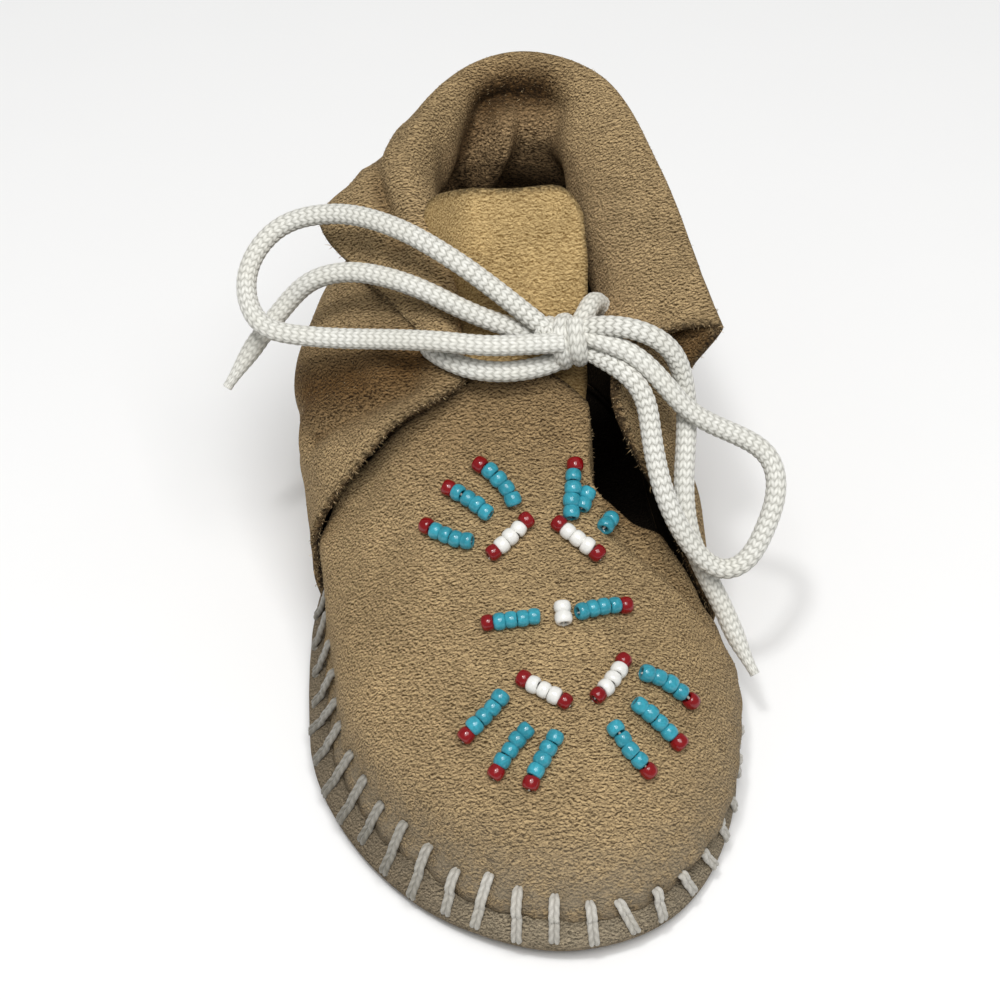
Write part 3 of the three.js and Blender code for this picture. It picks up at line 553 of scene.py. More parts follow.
def vamp_grid(f, q):
    """Outer side of the vamp: columns fan from the throat's edge (q 0) out to the seam (q 1)."""
    f, q = np.asarray(f, float)[:, None], np.asarray(q, float)[None]
    place = vamp_places(f[:, 0])
    edge = sole_edge(place)
    tuck = np.where(f[:, 0] < 0.5, smoothstep(edge[:, 1], *TUCK["left"]), smoothstep(edge[:, 1], *TUCK["right"]))
    edge = edge - sole_side(place) * (TUCK_DEPTH * tuck + RIM_LEAN)[:, None]
    r = 1 - (1 - q) ** FAN_EASE
    bend = np.maximum(0, 2 * f - 1) ** 4 * 4 * r * (1 - r)
    start = [THROAT["left"][k] + (THROAT["right"][k] - THROAT["left"][k]) * f for k in (0, 1)]
    start[1] = start[1] + THROAT_TUCK * np.sin(math.pi * f)
    x, y = (start[k] + (edge[:, k : k + 1] - start[k]) * r + SHOULDER_BOW[k] * bend for k in (0, 1))
    z = np.where(q == 1, SEAM_Z + lift(y), vamp_height(x, y))
    return np.stack([x, y, z], -1)


def wrap_grid(s, t):
    """Middle of the heel wrap's leather: s from the left front round the heel, t from the sole's rim to the hem."""
    rails = [catmull([row[k] for row in WRAP], s) for k in range(1, len(WRAP[0]))]
    at = spline([row[0] for row in WRAP], s)
    edge = sole_edge(at) - sole_side(at) * (RIM_LEAN + LEATHER / 2)
    foot = np.concatenate([edge, (SEAM_Z + lift(edge[:, 1]))[:, None]], 1)
    return np.stack([catmull([foot[i], *(rail[i] for rail in rails)], t) for i in range(len(s))])


def tongue_grid(rows, c):
    """Middle of the tongue: rows 0 to 1 run up to where the corners begin, 1 to 2 over the rounded top."""
    low, high, top = TONGUE["y"][0], TONGUE["y"][3], TONGUE["y"][-1]
    power = np.where(c < 0, *TONGUE_CORNERS)
    reach = (top - high) * (1 - CORNER_FALL * np.abs(c) ** power) - TOP_DIP * bell(c, DIP_REACH, DIP_AT)
    y = low + (high - low) * np.minimum(rows, 1)[:, None] + np.maximum(rows - 1, 0)[:, None] * reach[None]
    left, right = (eased(TONGUE, name, np.minimum(y, high)) for name in ("left", "right"))
    bow = TONGUE_BOW * (1 - c[None] ** 2)
    x = left + (right - left) * (c[None] + 1) / 2
    tucked = TONGUE_TUCK * smoothstep(-c, *TUCK_ACROSS)[None] * smoothstep(rows, *TUCK_ALONG)[:, None]
    z = eased(TONGUE, "z", y) + (bow - TONGUE_BOW) * BOW_UP - TUCK_FALL * tucked
    return np.stack([x, y - bow * BOW_FORWARD + tucked, z], -1)


def way_off(points, line):
    """Distance of points from a line of points."""
    line = np.asarray(line, float)
    best = np.full(points.shape[:-1], np.inf)
    for a, b in zip(line[:-1], line[1:]):
        share = np.clip(((points - a) @ (b - a)) / ((b - a) @ (b - a)), 0, 1)
        best = np.minimum(best, np.linalg.norm(points - a - share[..., None] * (b - a), axis=-1))
    return best


def creased(points, normals, rows):
    """Points pushed in along soft troughs, with a low swell on either side, or out along ridges."""
    height = np.zeros(points.shape[:-1])
    for line, width, depth in rows:
        d = way_off(points, line) / width
        height += depth * (SWELL * bell(d, 1, SWELL_AT) - bell(d, 1))
    return points + normals * height[..., None]


def along_lines(points, rows):
    """Strength of what lies along lines, such as shades and swells."""
    strength = np.zeros(points.shape[:-1])
    for line, width, most in rows:
        strength = np.maximum(strength, most * bell(way_off(points, line), width))
    return strength


def vamp_normals(x, y):
    """Outward directions of the smooth vamp."""
    step = 0.4
    slope_x = (vamp_height(x + step, y) - vamp_height(x - step, y)) / (2 * step)
    slope_y = (vamp_height(x, y + step) - vamp_height(x, y - step)) / (2 * step)
    return unit(np.stack([-slope_x, -slope_y, np.ones_like(slope_x)], -1))


def grid_normals(grid):
    return unit(np.cross(np.gradient(grid, axis=0), np.gradient(grid, axis=1)))


def origin():
    """The pattern's own zero in the part's frame, told by the lace's knot."""
    low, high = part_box("lace_knot")
    return np.array((low + high) / 2) / MM - np.array(KNOT_AT)


ORIGIN = origin()


def placed(points):
    return (np.asarray(points, float) + ORIGIN) * MM


# Meshes


def new_piece(name, points, faces, material, marks):
    mesh = bpy.data.meshes.new(name)
    mesh.from_pydata(placed(points).tolist(), [], faces.tolist() if hasattr(faces, "tolist") else faces)
    for label, values in marks.items():
        mesh.attributes.new(label, "FLOAT", "POINT").data.foreach_set("value", np.asarray(values, np.float32).ravel())
    mesh.polygons.foreach_set("use_smooth", [True] * len(mesh.polygons))
    mesh.materials.append(material)
    mesh.validate()
    piece = bpy.data.objects.new(name, mesh)
    bpy.context.scene.collection.objects.link(piece)
    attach(piece, BODY)
    return piece


def grid_faces(rows, cols, start=0, wrap=False):
    i, j = np.meshgrid(np.arange(rows if wrap else rows - 1), np.arange(cols - 1), indexing="ij")
    a, b = i * cols + j, ((i + 1) % rows) * cols + j
    return np.stack([a, b, b + 1, a + 1], -1).reshape(-1, 4) + start


def leather_shell(grid, out, back, bulge):
    """Points, faces and marks of a sheet of leather with soft cut edges; the grid's normals point out."""
    rows, cols = grid.shape[:2]
    n = grid_normals(grid)
    outer, inner = grid + n * out, grid - n * back
    loop = [(i, 0) for i in range(rows - 1)] + [(rows - 1, j) for j in range(cols - 1)]
    loop += [(i, cols - 1) for i in range(rows - 1, 0, -1)] + [(0, j) for j in range(cols - 1, 0, -1)]
    li, lj = np.array(loop).T
    inward = unit(grid[np.clip(li, 1, rows - 2), np.clip(lj, 1, cols - 2)] - grid[li, lj])
    middle = (outer[li, lj] + inner[li, lj]) / 2 - inward * bulge
    points = np.concatenate([outer.reshape(-1, 3), inner.reshape(-1, 3), middle])
    flat = li * cols + lj
    second, third = rows * cols, 2 * rows * cols
    k = np.arange(len(loop))
    k1 = np.roll(k, -1)
    sides = np.concatenate([
        np.stack([flat[k1], flat[k], third + k, third + k1], 1),
        np.stack([third + k1, third + k, second + flat[k], second + flat[k1]], 1),
    ])
    faces = np.concatenate([grid_faces(rows, cols), grid_faces(rows, cols, second)[:, ::-1], sides])
    rim = grid[li, lj]
    near = np.stack([np.min(np.linalg.norm(row[:, None] - rim[None, ::2], axis=-1), axis=1) for row in grid])
    edge = EDGE_DARK * bell(near, EDGE_REACH).ravel()
    edge = np.concatenate([edge, edge, np.full(len(loop), EDGE_DARK)])
    inside = np.concatenate([np.zeros(second), np.ones(second), np.full(len(loop), 0.5)])
    return points, faces, {"edge": edge, "inside": inside}


def frames_along(line):
    """Tangents and two cross directions that turn as little as they can along a line."""
    tangent = unit(np.gradient(line, axis=0))
    side = np.empty_like(line)
    first = np.cross(tangent[0], (0, 0, 1))
    side[0] = unit(first if np.linalg.norm(first) > 0.1 else np.cross(tangent[0], (1, 0, 0)))
    for i in range(1, len(line)):
        side[i] = unit(side[i - 1] - tangent[i] * (side[i - 1] @ tangent[i]))
    return tangent, side, np.cross(tangent, side)


def rings(side, up, around):
    turn = np.arange(around) * 2 * math.pi / around
    return side[:, None] * np.cos(turn)[None, :, None] + up[:, None] * np.sin(turn)[None, :, None]


def tube(line, radii, around, height):
    """Points and faces of a closed tube; radii is one per point of the line, height is added per place round it."""
    count = len(line)
    _, side, up = frames_along(line)
    r = np.asarray(radii, float).reshape(-1, 1) * np.ones((count, around)) + height
    ring = rings(side, up, around)
    points = np.concatenate([(line[:, None] + ring * r[..., None]).reshape(-1, 3), line[:1], line[-1:]])
    i, j = np.meshgrid(np.arange(count - 1), np.arange(around), indexing="ij")
    a, b = i * around + j, i * around + (j + 1) % around
    faces = np.stack([a, b, b + around, a + around], -1).reshape(-1, 4).tolist()
    first, last = count * around, count * around + 1
    for j in range(around):
        k = (j + 1) % around
        faces.append([first, k, j])
        faces.append([last, (count - 1) * around + j, (count - 1) * around + k])
    return points, faces


class Heap:
    """Many small meshes gathered into one."""

    def __init__(self):
        self.points, self.faces, self.marks, self.count = [], [], {}, 0

    def add(self, points, faces, **marks):
        self.points.append(np.asarray(points, float))
        self.faces.extend([[v + self.count for v in face] for face in faces])
        for name, value in marks.items():
            self.marks.setdefault(name, []).append(np.broadcast_to(np.asarray(value, float), (len(points),)))
        self.count += len(points)

    def piece(self, name, material):
        marks = {label: np.concatenate(parts) for label, parts in self.marks.items()}
        return new_piece(name, np.concatenate(self.points), self.faces, material, marks)


# Materials


def feed(tree, socket, value):
    """Links a socket to another one or sets its value; colours are opaque."""
    if isinstance(value, bpy.types.NodeSocket):
        tree.links.new(value, socket)
    else:
        socket.default_value = (*value[:3], 1.0) if socket.type == "RGBA" else value


def wire(tree, node, inputs):
    for name, value in inputs.items():
        feed(tree, node.inputs[name], value)


def add(tree, kind, inputs=None, **settings):
    made = tree.nodes.new(kind)
    for name, value in settings.items():
        setattr(made, name, value)
    wire(tree, made, inputs or {})
    return made


def maths(tree, operation, a, b, clamp=False):
    return add(tree, "ShaderNodeMath", {0: a, 1: b}, operation=operation, use_clamp=clamp).outputs[0]


def vectors(tree, operation, a, b):
    other = "Scale" if operation == "SCALE" else 1
    return add(tree, "ShaderNodeVectorMath", {0: a, other: b}, operation=operation).outputs[0]


def mixed(tree, share, a, b, blend="MIX"):
    made = add(tree, "ShaderNodeMix", {0: share, 6: a, 7: b}, data_type="RGBA", blend_type=blend)
    return made.outputs[2]


def ranged(tree, value, low, high, to_low=0.0, to_high=1.0):
    made = add(tree, "ShaderNodeMapRange", {
        "Value": value, "From Min": low, "From Max": high, "To Min": to_low, "To Max": to_high,
    }, interpolation_type="SMOOTHSTEP")
    return made.outputs[0]


def noise(tree, vector, scale, detail=2.0, roughness=0.5, distortion=0.0):
    return add(tree, "ShaderNodeTexNoise", {
        "Vector": vector, "Scale": scale, "Detail": detail, "Roughness": roughness, "Distortion": distortion,
    }).outputs


def object_place(tree):
    return tree.nodes.new("ShaderNodeTexCoord").outputs["Object"]


def toned(colour, *share):
    """A colour made darker or paler by one share, or by a share for each channel."""
    return [min(1.0, k * c) for c, k in zip(colour, share * 3)]


def new_group(name, takes, gives):
    tree = bpy.data.node_groups.new(name, "ShaderNodeTree")
    for label, kind, value in takes:
        socket = tree.interface.new_socket(label, in_out="INPUT", socket_type=kind)
        socket.default_value = value
    for label, kind in gives:
        tree.interface.new_socket(label, in_out="OUTPUT", socket_type=kind)
    return tree, tree.nodes.new("NodeGroupInput").outputs, tree.nodes.new("NodeGroupOutput").inputs


def nap_group():
    """Short curled suede nap: light tips over dark roots, with slow patches."""
    if "Suede nap" in bpy.data.node_groups:
        return bpy.data.node_groups["Suede nap"]
    white = (1.0, 1.0, 1.0, 1.0)
    tree, takes, gives = new_group("Suede nap", [
        ("Tips", "NodeSocketColor", white), ("Roots", "NodeSocketColor", white),
        ("Tufts per metre", "NodeSocketFloat", 1300.0), ("Contrast", "NodeSocketFloat", 0.5),
        ("Patches", "NodeSocketFloat", 0.2),
    ], [("Color", "NodeSocketColor"), ("Height", "NodeSocketFloat"), ("Roughness", "NodeSocketFloat")])
    place = object_place(tree)
    tufts = vectors(tree, "SCALE", vectors(tree, "MULTIPLY", place, NAP_LAY), takes["Tufts per metre"])
    bend = vectors(tree, "SUBTRACT", noise(tree, tufts, 0.55, 1.0)["Color"], (0.5, 0.5, 0.5))
    curled = vectors(tree, "ADD", tufts, vectors(tree, "SCALE", bend, NAP_CURL))
    height = noise(tree, curled, *NAP_GRAIN)["Fac"]
    # Painted light and shade: the nap's height against its height a little way off makes each tuft lighter on one side
    # and darker on the other
    beyond = noise(tree, vectors(tree, "ADD", curled, NAP_PAINTED_LIGHT), *NAP_GRAIN)["Fac"]
    slope = maths(tree, "MULTIPLY", maths(tree, "SUBTRACT", height, beyond), takes["Contrast"])
    painted_light_and_height = maths(tree, "ADD", maths(tree, "MULTIPLY", slope, NAP_PAINTED_RELIEF), maths(tree, "MULTIPLY", height, 0.5))
    colour = mixed(tree, maths(tree, "ADD", painted_light_and_height, 0.25, True), takes["Roots"], takes["Tips"])
    slow = maths(tree, "SUBTRACT", noise(tree, place, 55.0, 3.0, 0.55)["Fac"], 0.5)
    middling = maths(tree, "SUBTRACT", noise(tree, place, 260.0)["Fac"], 0.5)
    patch = maths(tree, "ADD", slow, maths(tree, "MULTIPLY", middling, 0.6))
    tone = maths(tree, "MULTIPLY", patch, maths(tree, "MULTIPLY", takes["Patches"], 4.0))
    patched = vectors(tree, "SCALE", colour, maths(tree, "ADD", tone, 1.0))
    tree.links.new(patched, gives["Color"])
    tree.links.new(height, gives["Height"])
    tree.links.new(ranged(tree, height, 0.3, 0.7, 1.0, 0.82), gives["Roughness"])
    return tree


def soil_and_shade_group():
    """Soil, a brown shade in hollows and darker fuzz along cut edges, broken up by noise."""
    if "Edge fuzz and shade" in bpy.data.node_groups:
        return bpy.data.node_groups["Edge fuzz and shade"]
    tree, takes, gives = new_group("Edge fuzz and shade", [
        ("Color", "NodeSocketColor", (1, 1, 1, 1)), ("Edge", "NodeSocketFloat", 0.0),
        ("Edge colour", "NodeSocketColor", (0.1, 0.07, 0.05, 1)), ("Shade", "NodeSocketFloat", 0.0),
        ("Shade colour", "NodeSocketColor", (0.5, 0.4, 0.3, 1)), ("Soil", "NodeSocketFloat", 0.0),
        ("Soil colour", "NodeSocketColor", (0.2, 0.18, 0.15, 1)),
    ], [("Color", "NodeSocketColor")])
    place = object_place(tree)
    broken = ranged(tree, noise(tree, place, 1500.0)["Fac"], 0.3, 0.6, 0.35, 1.0)
    # A full edge mark, as where the deepest shade is painted, covers wholly with the edge colour
    full = maths(tree, "POWER", takes["Edge"], 8.0)
    edge = maths(tree, "ADD", maths(tree, "MULTIPLY", takes["Edge"], broken), full, True)
    smudge = ranged(tree, noise(tree, place, 420.0, 3.0, 0.6)["Fac"], 0.3, 0.62, 0.5, 1.0)
    greyed = mixed(tree, maths(tree, "MULTIPLY", takes["Soil"], smudge, True), takes["Color"], takes["Soil colour"])
    shaded = mixed(tree, takes["Shade"], greyed, takes["Shade colour"], "MULTIPLY")
    tree.links.new(mixed(tree, edge, shaded, takes["Edge colour"]), gives["Color"])
    return tree


def new_material(name):
    material = bpy.data.materials.new(name)
    material.use_nodes = True
    tree = material.node_tree
    return material, tree, tree.nodes["Principled BSDF"]


def mark(tree, name):
    return add(tree, "ShaderNodeAttribute", attribute_name=name, attribute_type="GEOMETRY").outputs["Fac"]


def grouped(tree, group, inputs):
    return add(tree, "ShaderNodeGroup", inputs, node_tree=group).outputs


def suede(name, tips, roots, contrast, patches, depth=0.0006, inside=None):
    """Suede with its nap; inside holds the tips and roots of the flesh side where it shows."""
    if name in bpy.data.materials:
        return bpy.data.materials[name]
    material, tree, shader = new_material(name)
    tufts = 1 / sizes().nap

    def nap(tips, roots, tufts):
        return grouped(tree, nap_group(), {
            "Tips": tips, "Roots": roots, "Tufts per metre": tufts, "Contrast": contrast, "Patches": patches})

    base = nap(tips, roots, tufts)
    colour = base["Color"]
    if inside:
        colour = mixed(tree, mark(tree, "inside"), colour, nap(*inside, tufts * FLESH_TUFTS)["Color"])
    dressed = grouped(tree, soil_and_shade_group(), {
        "Color": colour, "Edge": mark(tree, "edge"), "Edge colour": EDGE_AND_DEEP_SHADE_COLOUR, "Shade": mark(tree, "shade"),
        "Shade colour": SHADE_COLOUR, "Soil": mark(tree, "soil"), "Soil colour": SOIL_COLOUR})
    bump = add(tree, "ShaderNodeBump", {"Height": base["Height"], "Strength": 1.0, "Distance": depth})
    wire(tree, shader, {
        "Base Color": dressed["Color"], "Roughness": base["Roughness"], "Normal": bump.outputs[0],
        "Specular IOR Level": 0.12, "Sheen Weight": 0.1, "Sheen Roughness": 0.55, "Sheen Tint": tips})
    return material


def flesh_side():
    return colours().flesh_light[:], colours().flesh_dark[:]


def upper_suede():
    return suede("suede", colours().suede_light[:], colours().suede_dark[:], 1.4, 0.17, inside=flesh_side())


def yarn(name, colour, fibres, groove, roughness=0.62):
    """Spun yarn: fine fibres, and a darker hollow where the groove mark is high."""
    if name in bpy.data.materials:
        return bpy.data.materials[name]
    material, tree, shader = new_material(name)
    place = object_place(tree)
    fibre = noise(tree, place, fibres, 3.0, 0.65, 1.0)["Fac"]
    slow = noise(tree, place, 120.0)["Fac"]
    deep = maths(tree, "MULTIPLY", mark(tree, "groove"), groove, True)
    tone = mixed(tree, ranged(tree, fibre, 0.3, 0.7), toned(colour, 0.86), toned(colour, 1.06))
    tone = mixed(tree, ranged(tree, slow, 0.35, 0.7, 0.0, 0.35), tone, toned(colour, 0.9, 0.88, 0.82))
    tone = mixed(tree, deep, tone, toned(colour, 0.26, 0.25, 0.22))
    bump = add(tree, "ShaderNodeBump", {"Height": fibre, "Strength": 0.6, "Distance": 0.00012})
    wire(tree, shader, {
        "Base Color": tone, "Roughness": ranged(tree, fibre, 0.3, 0.7, roughness + 0.12, roughness - 0.1),
        "Normal": bump.outputs[0], "Sheen Weight": 0.25})
    return material


def glass_paste(name, colour, streak):
    """Opaque glossy bead: a thin coat, streaks in the paste and a tone of its own for each bead."""
    material, tree, shader = new_material(name)
    cloud = noise(tree, object_place(tree), 900.0, 3.0, 0.6, 1.5)["Fac"]
    pale = [min(1.0, c * (1 + 0.5 * streak) + 0.02 * streak) for c in colour]
    streaks = maths(tree, "MULTIPLY", ranged(tree, cloud, 0.35, 0.68), 0.55)
    share = maths(tree, "ADD", streaks, maths(tree, "MULTIPLY", mark(tree, "tone"), 0.45))
    body = mixed(tree, share, toned(colour, 1 - streak), pale)
    wire(tree, shader, {
        "Base Color": mixed(tree, mark(tree, "groove"), body, toned(colour, 0.25)),
        "Roughness": ranged(tree, cloud, 0.3, 0.7, 0.16, 0.26),
        "Coat Weight": 0.3, "Coat Roughness": 0.08, "Specular IOR Level": 0.35})
    return material


# Pieces


def make_sole():
    stops = np.concatenate([np.linspace(k, k + 1, n, endpoint=False) for k, n in enumerate(SOLE_STOPS)])
    section = catmull(np.array([(a, b, 0) for a, b in SOLE_SECTION], float), np.linspace(0, 1, SOLE_ROWS))
    section[:, 1] = np.maximum(section[:, 1], 0)
    edge, side, press = sole_edge(stops), sole_side(stops), seam_press(stops)
    wave = RIM_PUCKER[0] * stitch_wave(seam_run(stops), stops)
    count = len(stops)
    points = np.empty((SOLE_ROWS, count, 3))
    for r, (inset, z, _) in enumerate(section):
        drawn = press * smoothstep(z, PRESS_START, RIM_TOP) if r < RIM_END else 0 * press
        p = edge - side * (inset + drawn)[:, None]
        if INSIDE_END < r < RIM_END:
            p = p + side * (wave * bell(z, RIM_PUCKER[1], RIM_TOP))[:, None]
        points[r] = np.concatenate([p, (z + lift(p[:, 1]))[:, None]], 1)
    points[..., 2] += np.where(points[..., 2] > LEVEL_FLOOR, slack(points, "sole"), 0)
    flat = points.transpose(1, 0, 2).reshape(-1, 3)
    faces = grid_faces(count, SOLE_ROWS, wrap=True)[:, ::-1].tolist()
    toe = SOLE_STOPS[0] // 2
    for k in range(count // 2):
        corners = [(toe + j) % count * SOLE_ROWS for j in (-k, -k - 1, k + 1, k)]
        for r, way in ((0, 1), (SOLE_ROWS - 1, -1)):
            quad = list(dict.fromkeys(corner + r for corner in corners))
            if len(quad) > 2:
                faces.append(quad[::way])
    r = np.tile(np.arange(SOLE_ROWS), count)
    inside, outside = 1.0 * (r < INSIDE_END), 1.0 * (r > RIM_START)
    height = flat[:, 2] - lift(flat[:, 1])
    seam = bell(height, *SEAM_FUZZ[1:]) * (r > SEAM_ROW)
    low = FOOT_SHADE[0] * bell(height, *FOOT_SHADE[1:]) * outside
    shade = np.maximum(UNDER_SHADE * smoothstep(r, *UNDER_ROWS), low)
    shade = shade + LEFT_SHADE * smoothstep(-flat[:, 0], *LEFT_FROM) * outside
    c = colours()
    material = suede("sole_suede", c.sole_light[:], c.sole_dark[:], 1.2, 0.16, inside=flesh_side())
    # Painted shade: darker at the foot, underneath, on the left side and inside; the inside's right half is painted
    # near black with the edge colour
    piece = new_piece("sole_suede", flat, faces, material, {
        "edge": np.maximum(SEAM_FUZZ[0] * seam, inside * smoothstep(flat[:, 0], *DEEP_FROM)), "inside": inside,
        "soil": RIM_SOIL * outside, "shade": np.maximum(shade, INSIDE_SHADE * inside),
    })
    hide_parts("sole")


def seam_table():
    places = np.linspace(-0.8, 1.6, 2401)
    return places, run_along(sole_edge(places))


SEAM_PLACES, SEAM_RUN = seam_table()


def from_toe(place):
    """Places on the sole's edge with the left side counted back from the toe."""
    u = np.asarray(place, float)
    return np.where(u > 2.6, u - 4, u)


def seam_run(place):
    """Way along the seam in millimetres from the first stitch."""
    return np.interp(from_toe(place), SEAM_PLACES, SEAM_RUN) - np.interp(STITCHED[0], SEAM_PLACES, SEAM_RUN)


def seam_press(place):
    """How far the tight stitches draw the seam in, beyond the lean of the rim."""
    return np.interp(from_toe(place), SEAM_PRESS["place"], SEAM_PRESS["in"], 0, 0)


def flank_move(place, rise):
    """How far the vamp's flank is drawn in by the seam; below zero where it bulges out over the rim."""
    bulge = np.interp(place, VAMP_BULGE["place"], VAMP_BULGE["out"], 0)
    over = bell(rise, BULGE_REACH, BULGE_RISE) * smoothstep(rise, -0.2, 2.5)
    lip = SEAM_LIP[0] * bell(rise, SEAM_LIP[1])
    return seam_press(place) * (1 - smoothstep(rise, 0, PRESS_HEIGHT)) - bulge * over - lip


def stitch_wave(run, place):
    """Puckers: -1 at a stitch, 1 between two, fading out past the sewn stretch."""
    u = from_toe(place)
    sewn = smoothstep(u, STITCHED[0] - 0.05, STITCHED[0]) * (1 - smoothstep(u, STITCHED[1], STITCHED[1] + 0.05))
    return -np.cos(2 * math.pi * run / (sizes().stitch_pitch / MM)) * sewn


def row_heading(turn):
    return np.array([math.cos(math.radians(turn)), math.sin(math.radians(turn))])


def bead_beds():
    """The beds of the bead rows in the vamp, as creases."""
    beds = []
    for start, turn, beads in BEAD_ROWS.values():
        end = np.asarray(start) + row_heading(turn) * BEAD_PITCH * (len(beads) - 1)
        beds.append(([np.array([*p, vamp_height(*p)]) for p in (start, end)], BED_WIDTH, BED_DEPTH))
    return beds


def vamp_relief(points, normals):
    """The vamp's points with its creases, slack and the beds of the bead rows."""
    made = creased(creased(points, normals, VAMP_CREASES), normals, bead_beds())
    return made + normals * slack(points, "vamp")[..., None]


def gap_drop(points):
    """Share of the gap's depth that the vamp drops beside the band, steep at its side, and how dark it is there."""
    x, y = points[..., 0], points[..., 1]
    beside = x - np.interp(y, GAP_SIDE["y"], GAP_SIDE["x"])
    above = y - np.interp(x, GAP_FOOT["x"], GAP_FOOT["y"])
    beside = beside / (GAP_SLOPE + GAP_FLARE * (1 - smoothstep(y, *FLARE_Y)))
    drop = smoothstep(beside, 0, 1) * smoothstep(above, *GAP_SOFT) * smoothstep(points[..., 2], *GAP_LOW)
    return drop, smoothstep(beside, *DARK_BESIDE) * smoothstep(above, *DARK_ABOVE)


def vamp_form(f, q):
    """The vamp's outer side, its normals, rise over the seam, way to the next stitch hole and darkness in the gap."""
    grid = vamp_grid(f, q)
    normals = vamp_normals(grid[..., 0], grid[..., 1])
    place = vamp_places(f)
    rise = grid[..., 2] - (SEAM_Z + lift(grid[..., 1]))
    made = vamp_relief(grid, normals) + normals * along_lines(grid, VAMP_SWELLS)[..., None]
    wave = stitch_wave(seam_run(place), place)[:, None]
    pucker = VAMP_PUCKER[0] * wave * bell(rise, VAMP_PUCKER[1]) - SEAM_PINCH[0] * bell(rise, SEAM_PINCH[1])
    made = made + normals * pucker[..., None]
    made[:, -1, 2] = grid[:, -1, 2]
    made[..., :2] -= sole_side(place)[:, None] * flank_move(place[:, None], rise)[..., None]
    made[..., 2] -= LIP_DROP[0] * bell(rise, LIP_DROP[1])
    holes = np.array([row["top"] for row in stitch_rows()])
    near = np.min(np.linalg.norm(made[..., None, :] - holes, axis=-1), axis=-1)
    made = made - normals * (STITCH_HOLE[0] * bell(near, STITCH_HOLE[1]))[..., None]
    drop, dark = gap_drop(grid)
    made[..., 2] -= GAP_DEPTH * drop
    return made, normals, rise, near, dark


def make_vamp():
    made, _, rise, near, gap = vamp_form(*spread(VAMP_GRID))
    points, faces, marks = leather_shell(made, 0.0, LEATHER, 0.2)
    outer = rise.size
    height = np.concatenate([rise.ravel()] * 2 + [np.zeros(len(points) - 2 * outer)])
    hole, gap = bell(near.ravel(), HOLE_FUZZ), gap.ravel()
    quarter = wrap_form(np.linspace(0.02, 0, 3), np.linspace(0.02, 0.5, 80))[-1]
    # Painted shadow where the quarter's front edge lies over the vamp, and painted shade at the seam, in the throat and
    # along the vamp's shade lines
    covered = bell(way_off(points, quarter[::3]), COVER_REACH)
    low = SEAM_SHADE[0] * bell(height, SEAM_SHADE[1]) + THROAT_SHADE * smoothstep(points[:, 2], *THROAT_FROM)
    shade = np.maximum.reduce([low, covered, along_lines(points, VAMP_SHADES)])
    # Painted shade in the gap
    shade[:outer] = np.maximum(shade[:outer], gap ** GAP_SHADE)
    edge = marks["edge"] * (1 - SEWN_EDGE[0] * bell(height, SEWN_EDGE[1]) * (points[:, 1] < 0))
    # The gap and the strip under the quarter's edge are painted near black with the edge colour
    edge[:outer] = np.maximum.reduce([edge[:outer], hole, smoothstep(gap, *GAP_BLACK)])
    marks["edge"] = np.maximum(edge, COVER_SHADOW * smoothstep(covered, *COVERED))
    marks["shade"] = np.minimum(1, shade)
    marks["soil"] = VAMP_SOIL[0] * bell(height, VAMP_SOIL[1]) * (1 - smoothstep(points[:, 1], *SOIL_FADE))
    piece = new_piece("vamp_suede", points, faces, upper_suede(), marks)
    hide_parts("upper")


def wrap_form(s, t):
    """The heel wrap's middle with its creases, slack and the falls of its cuff; s falls, so that normals point out."""
    grid = wrap_grid(s, t)
    normals = grid_normals(grid)
    row = t[None]
    wall = 1 - smoothstep(row, 0.7, 0.8)
    made = grid + (creased(grid, normals, WRAP_CREASES) - grid) * wall[..., None]
    made = made + normals * (slack(grid, "wall") * smoothstep(row, 0.05, 0.3) * wall)[..., None]
    made = made + normals * (slack(grid, "hem") * smoothstep(row, 0.86, 1.0))[..., None]
    for way, rises, falls, kept, places, moves in CUFF_MOVES.values():
        held = smoothstep(row, *rises) * (1 - (1 - kept) * smoothstep(row, *falls))
        made = made + (np.interp(s, places, moves)[:, None] * held)[..., None] * np.array(way)
    made = made + (creased(made, normals, CUFF_CREASES) - made) * smoothstep(row, 0.8, 0.86)[..., None]
    front = bell(s, 0.035)[:, None] * smoothstep(row, 0.14, 0.24) * (1 - smoothstep(row, 0.36, 0.44))
    return made + normals * (1.1 * front)[..., None]


def make_wrap():
    s, t = spread(WRAP_GRID)
    points, faces, marks = leather_shell(wrap_form(s, t), LEATHER / 2, LEATHER / 2, 0.3)
    rim = np.zeros(len(points) - 2 * len(s) * len(t))
    place, fold = (np.concatenate([v, v, rim]) for v in (np.repeat(s, len(t)), np.tile(t, len(s))))
    inner = marks["inside"]
    flesh = inner > 0.4
    # Painted shade in the collar's hollows, on the quarter under the cuff, low inside the wrap, where it is painted
    # black at the right front and at the foot, and under the flap
    collar = along_lines(points, COLLAR_SHADES) * flesh
    quarter = along_lines(points, QUARTER_SHADES) * ~flesh * (fold < QUARTER_ENDS)
    within = inner * (1 - smoothstep(fold, *WITHIN_ENDS))
    black = np.maximum(smoothstep(place, *BLACK_FROM), 1 - smoothstep(fold, *BLACK_ENDS))
    low = (LOW_SHADE + (1 - LOW_SHADE) * black) * within * (1 - smoothstep(fold, *LOW_ENDS))
    under = CUFF_SHADE * (1 - inner) * smoothstep(fold, *CUFF_UNDER)
    marks["shade"] = np.maximum.reduce([low, collar, under, quarter])
    # The collar's deepest painted shade and the low inside also take the edge's near-black colour
    marks["edge"] = np.maximum.reduce([marks["edge"], COLLAR_DEEP_SHADE * collar ** 2, low ** LOW_SHADE_POWER])
    marks["inside"] = FLESH_SHARE * inner * (1 - smoothstep(fold, *FLESH_ENDS))
    piece = new_piece("heel_wrap_suede", points, faces, upper_suede(), marks)
    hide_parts("upper")


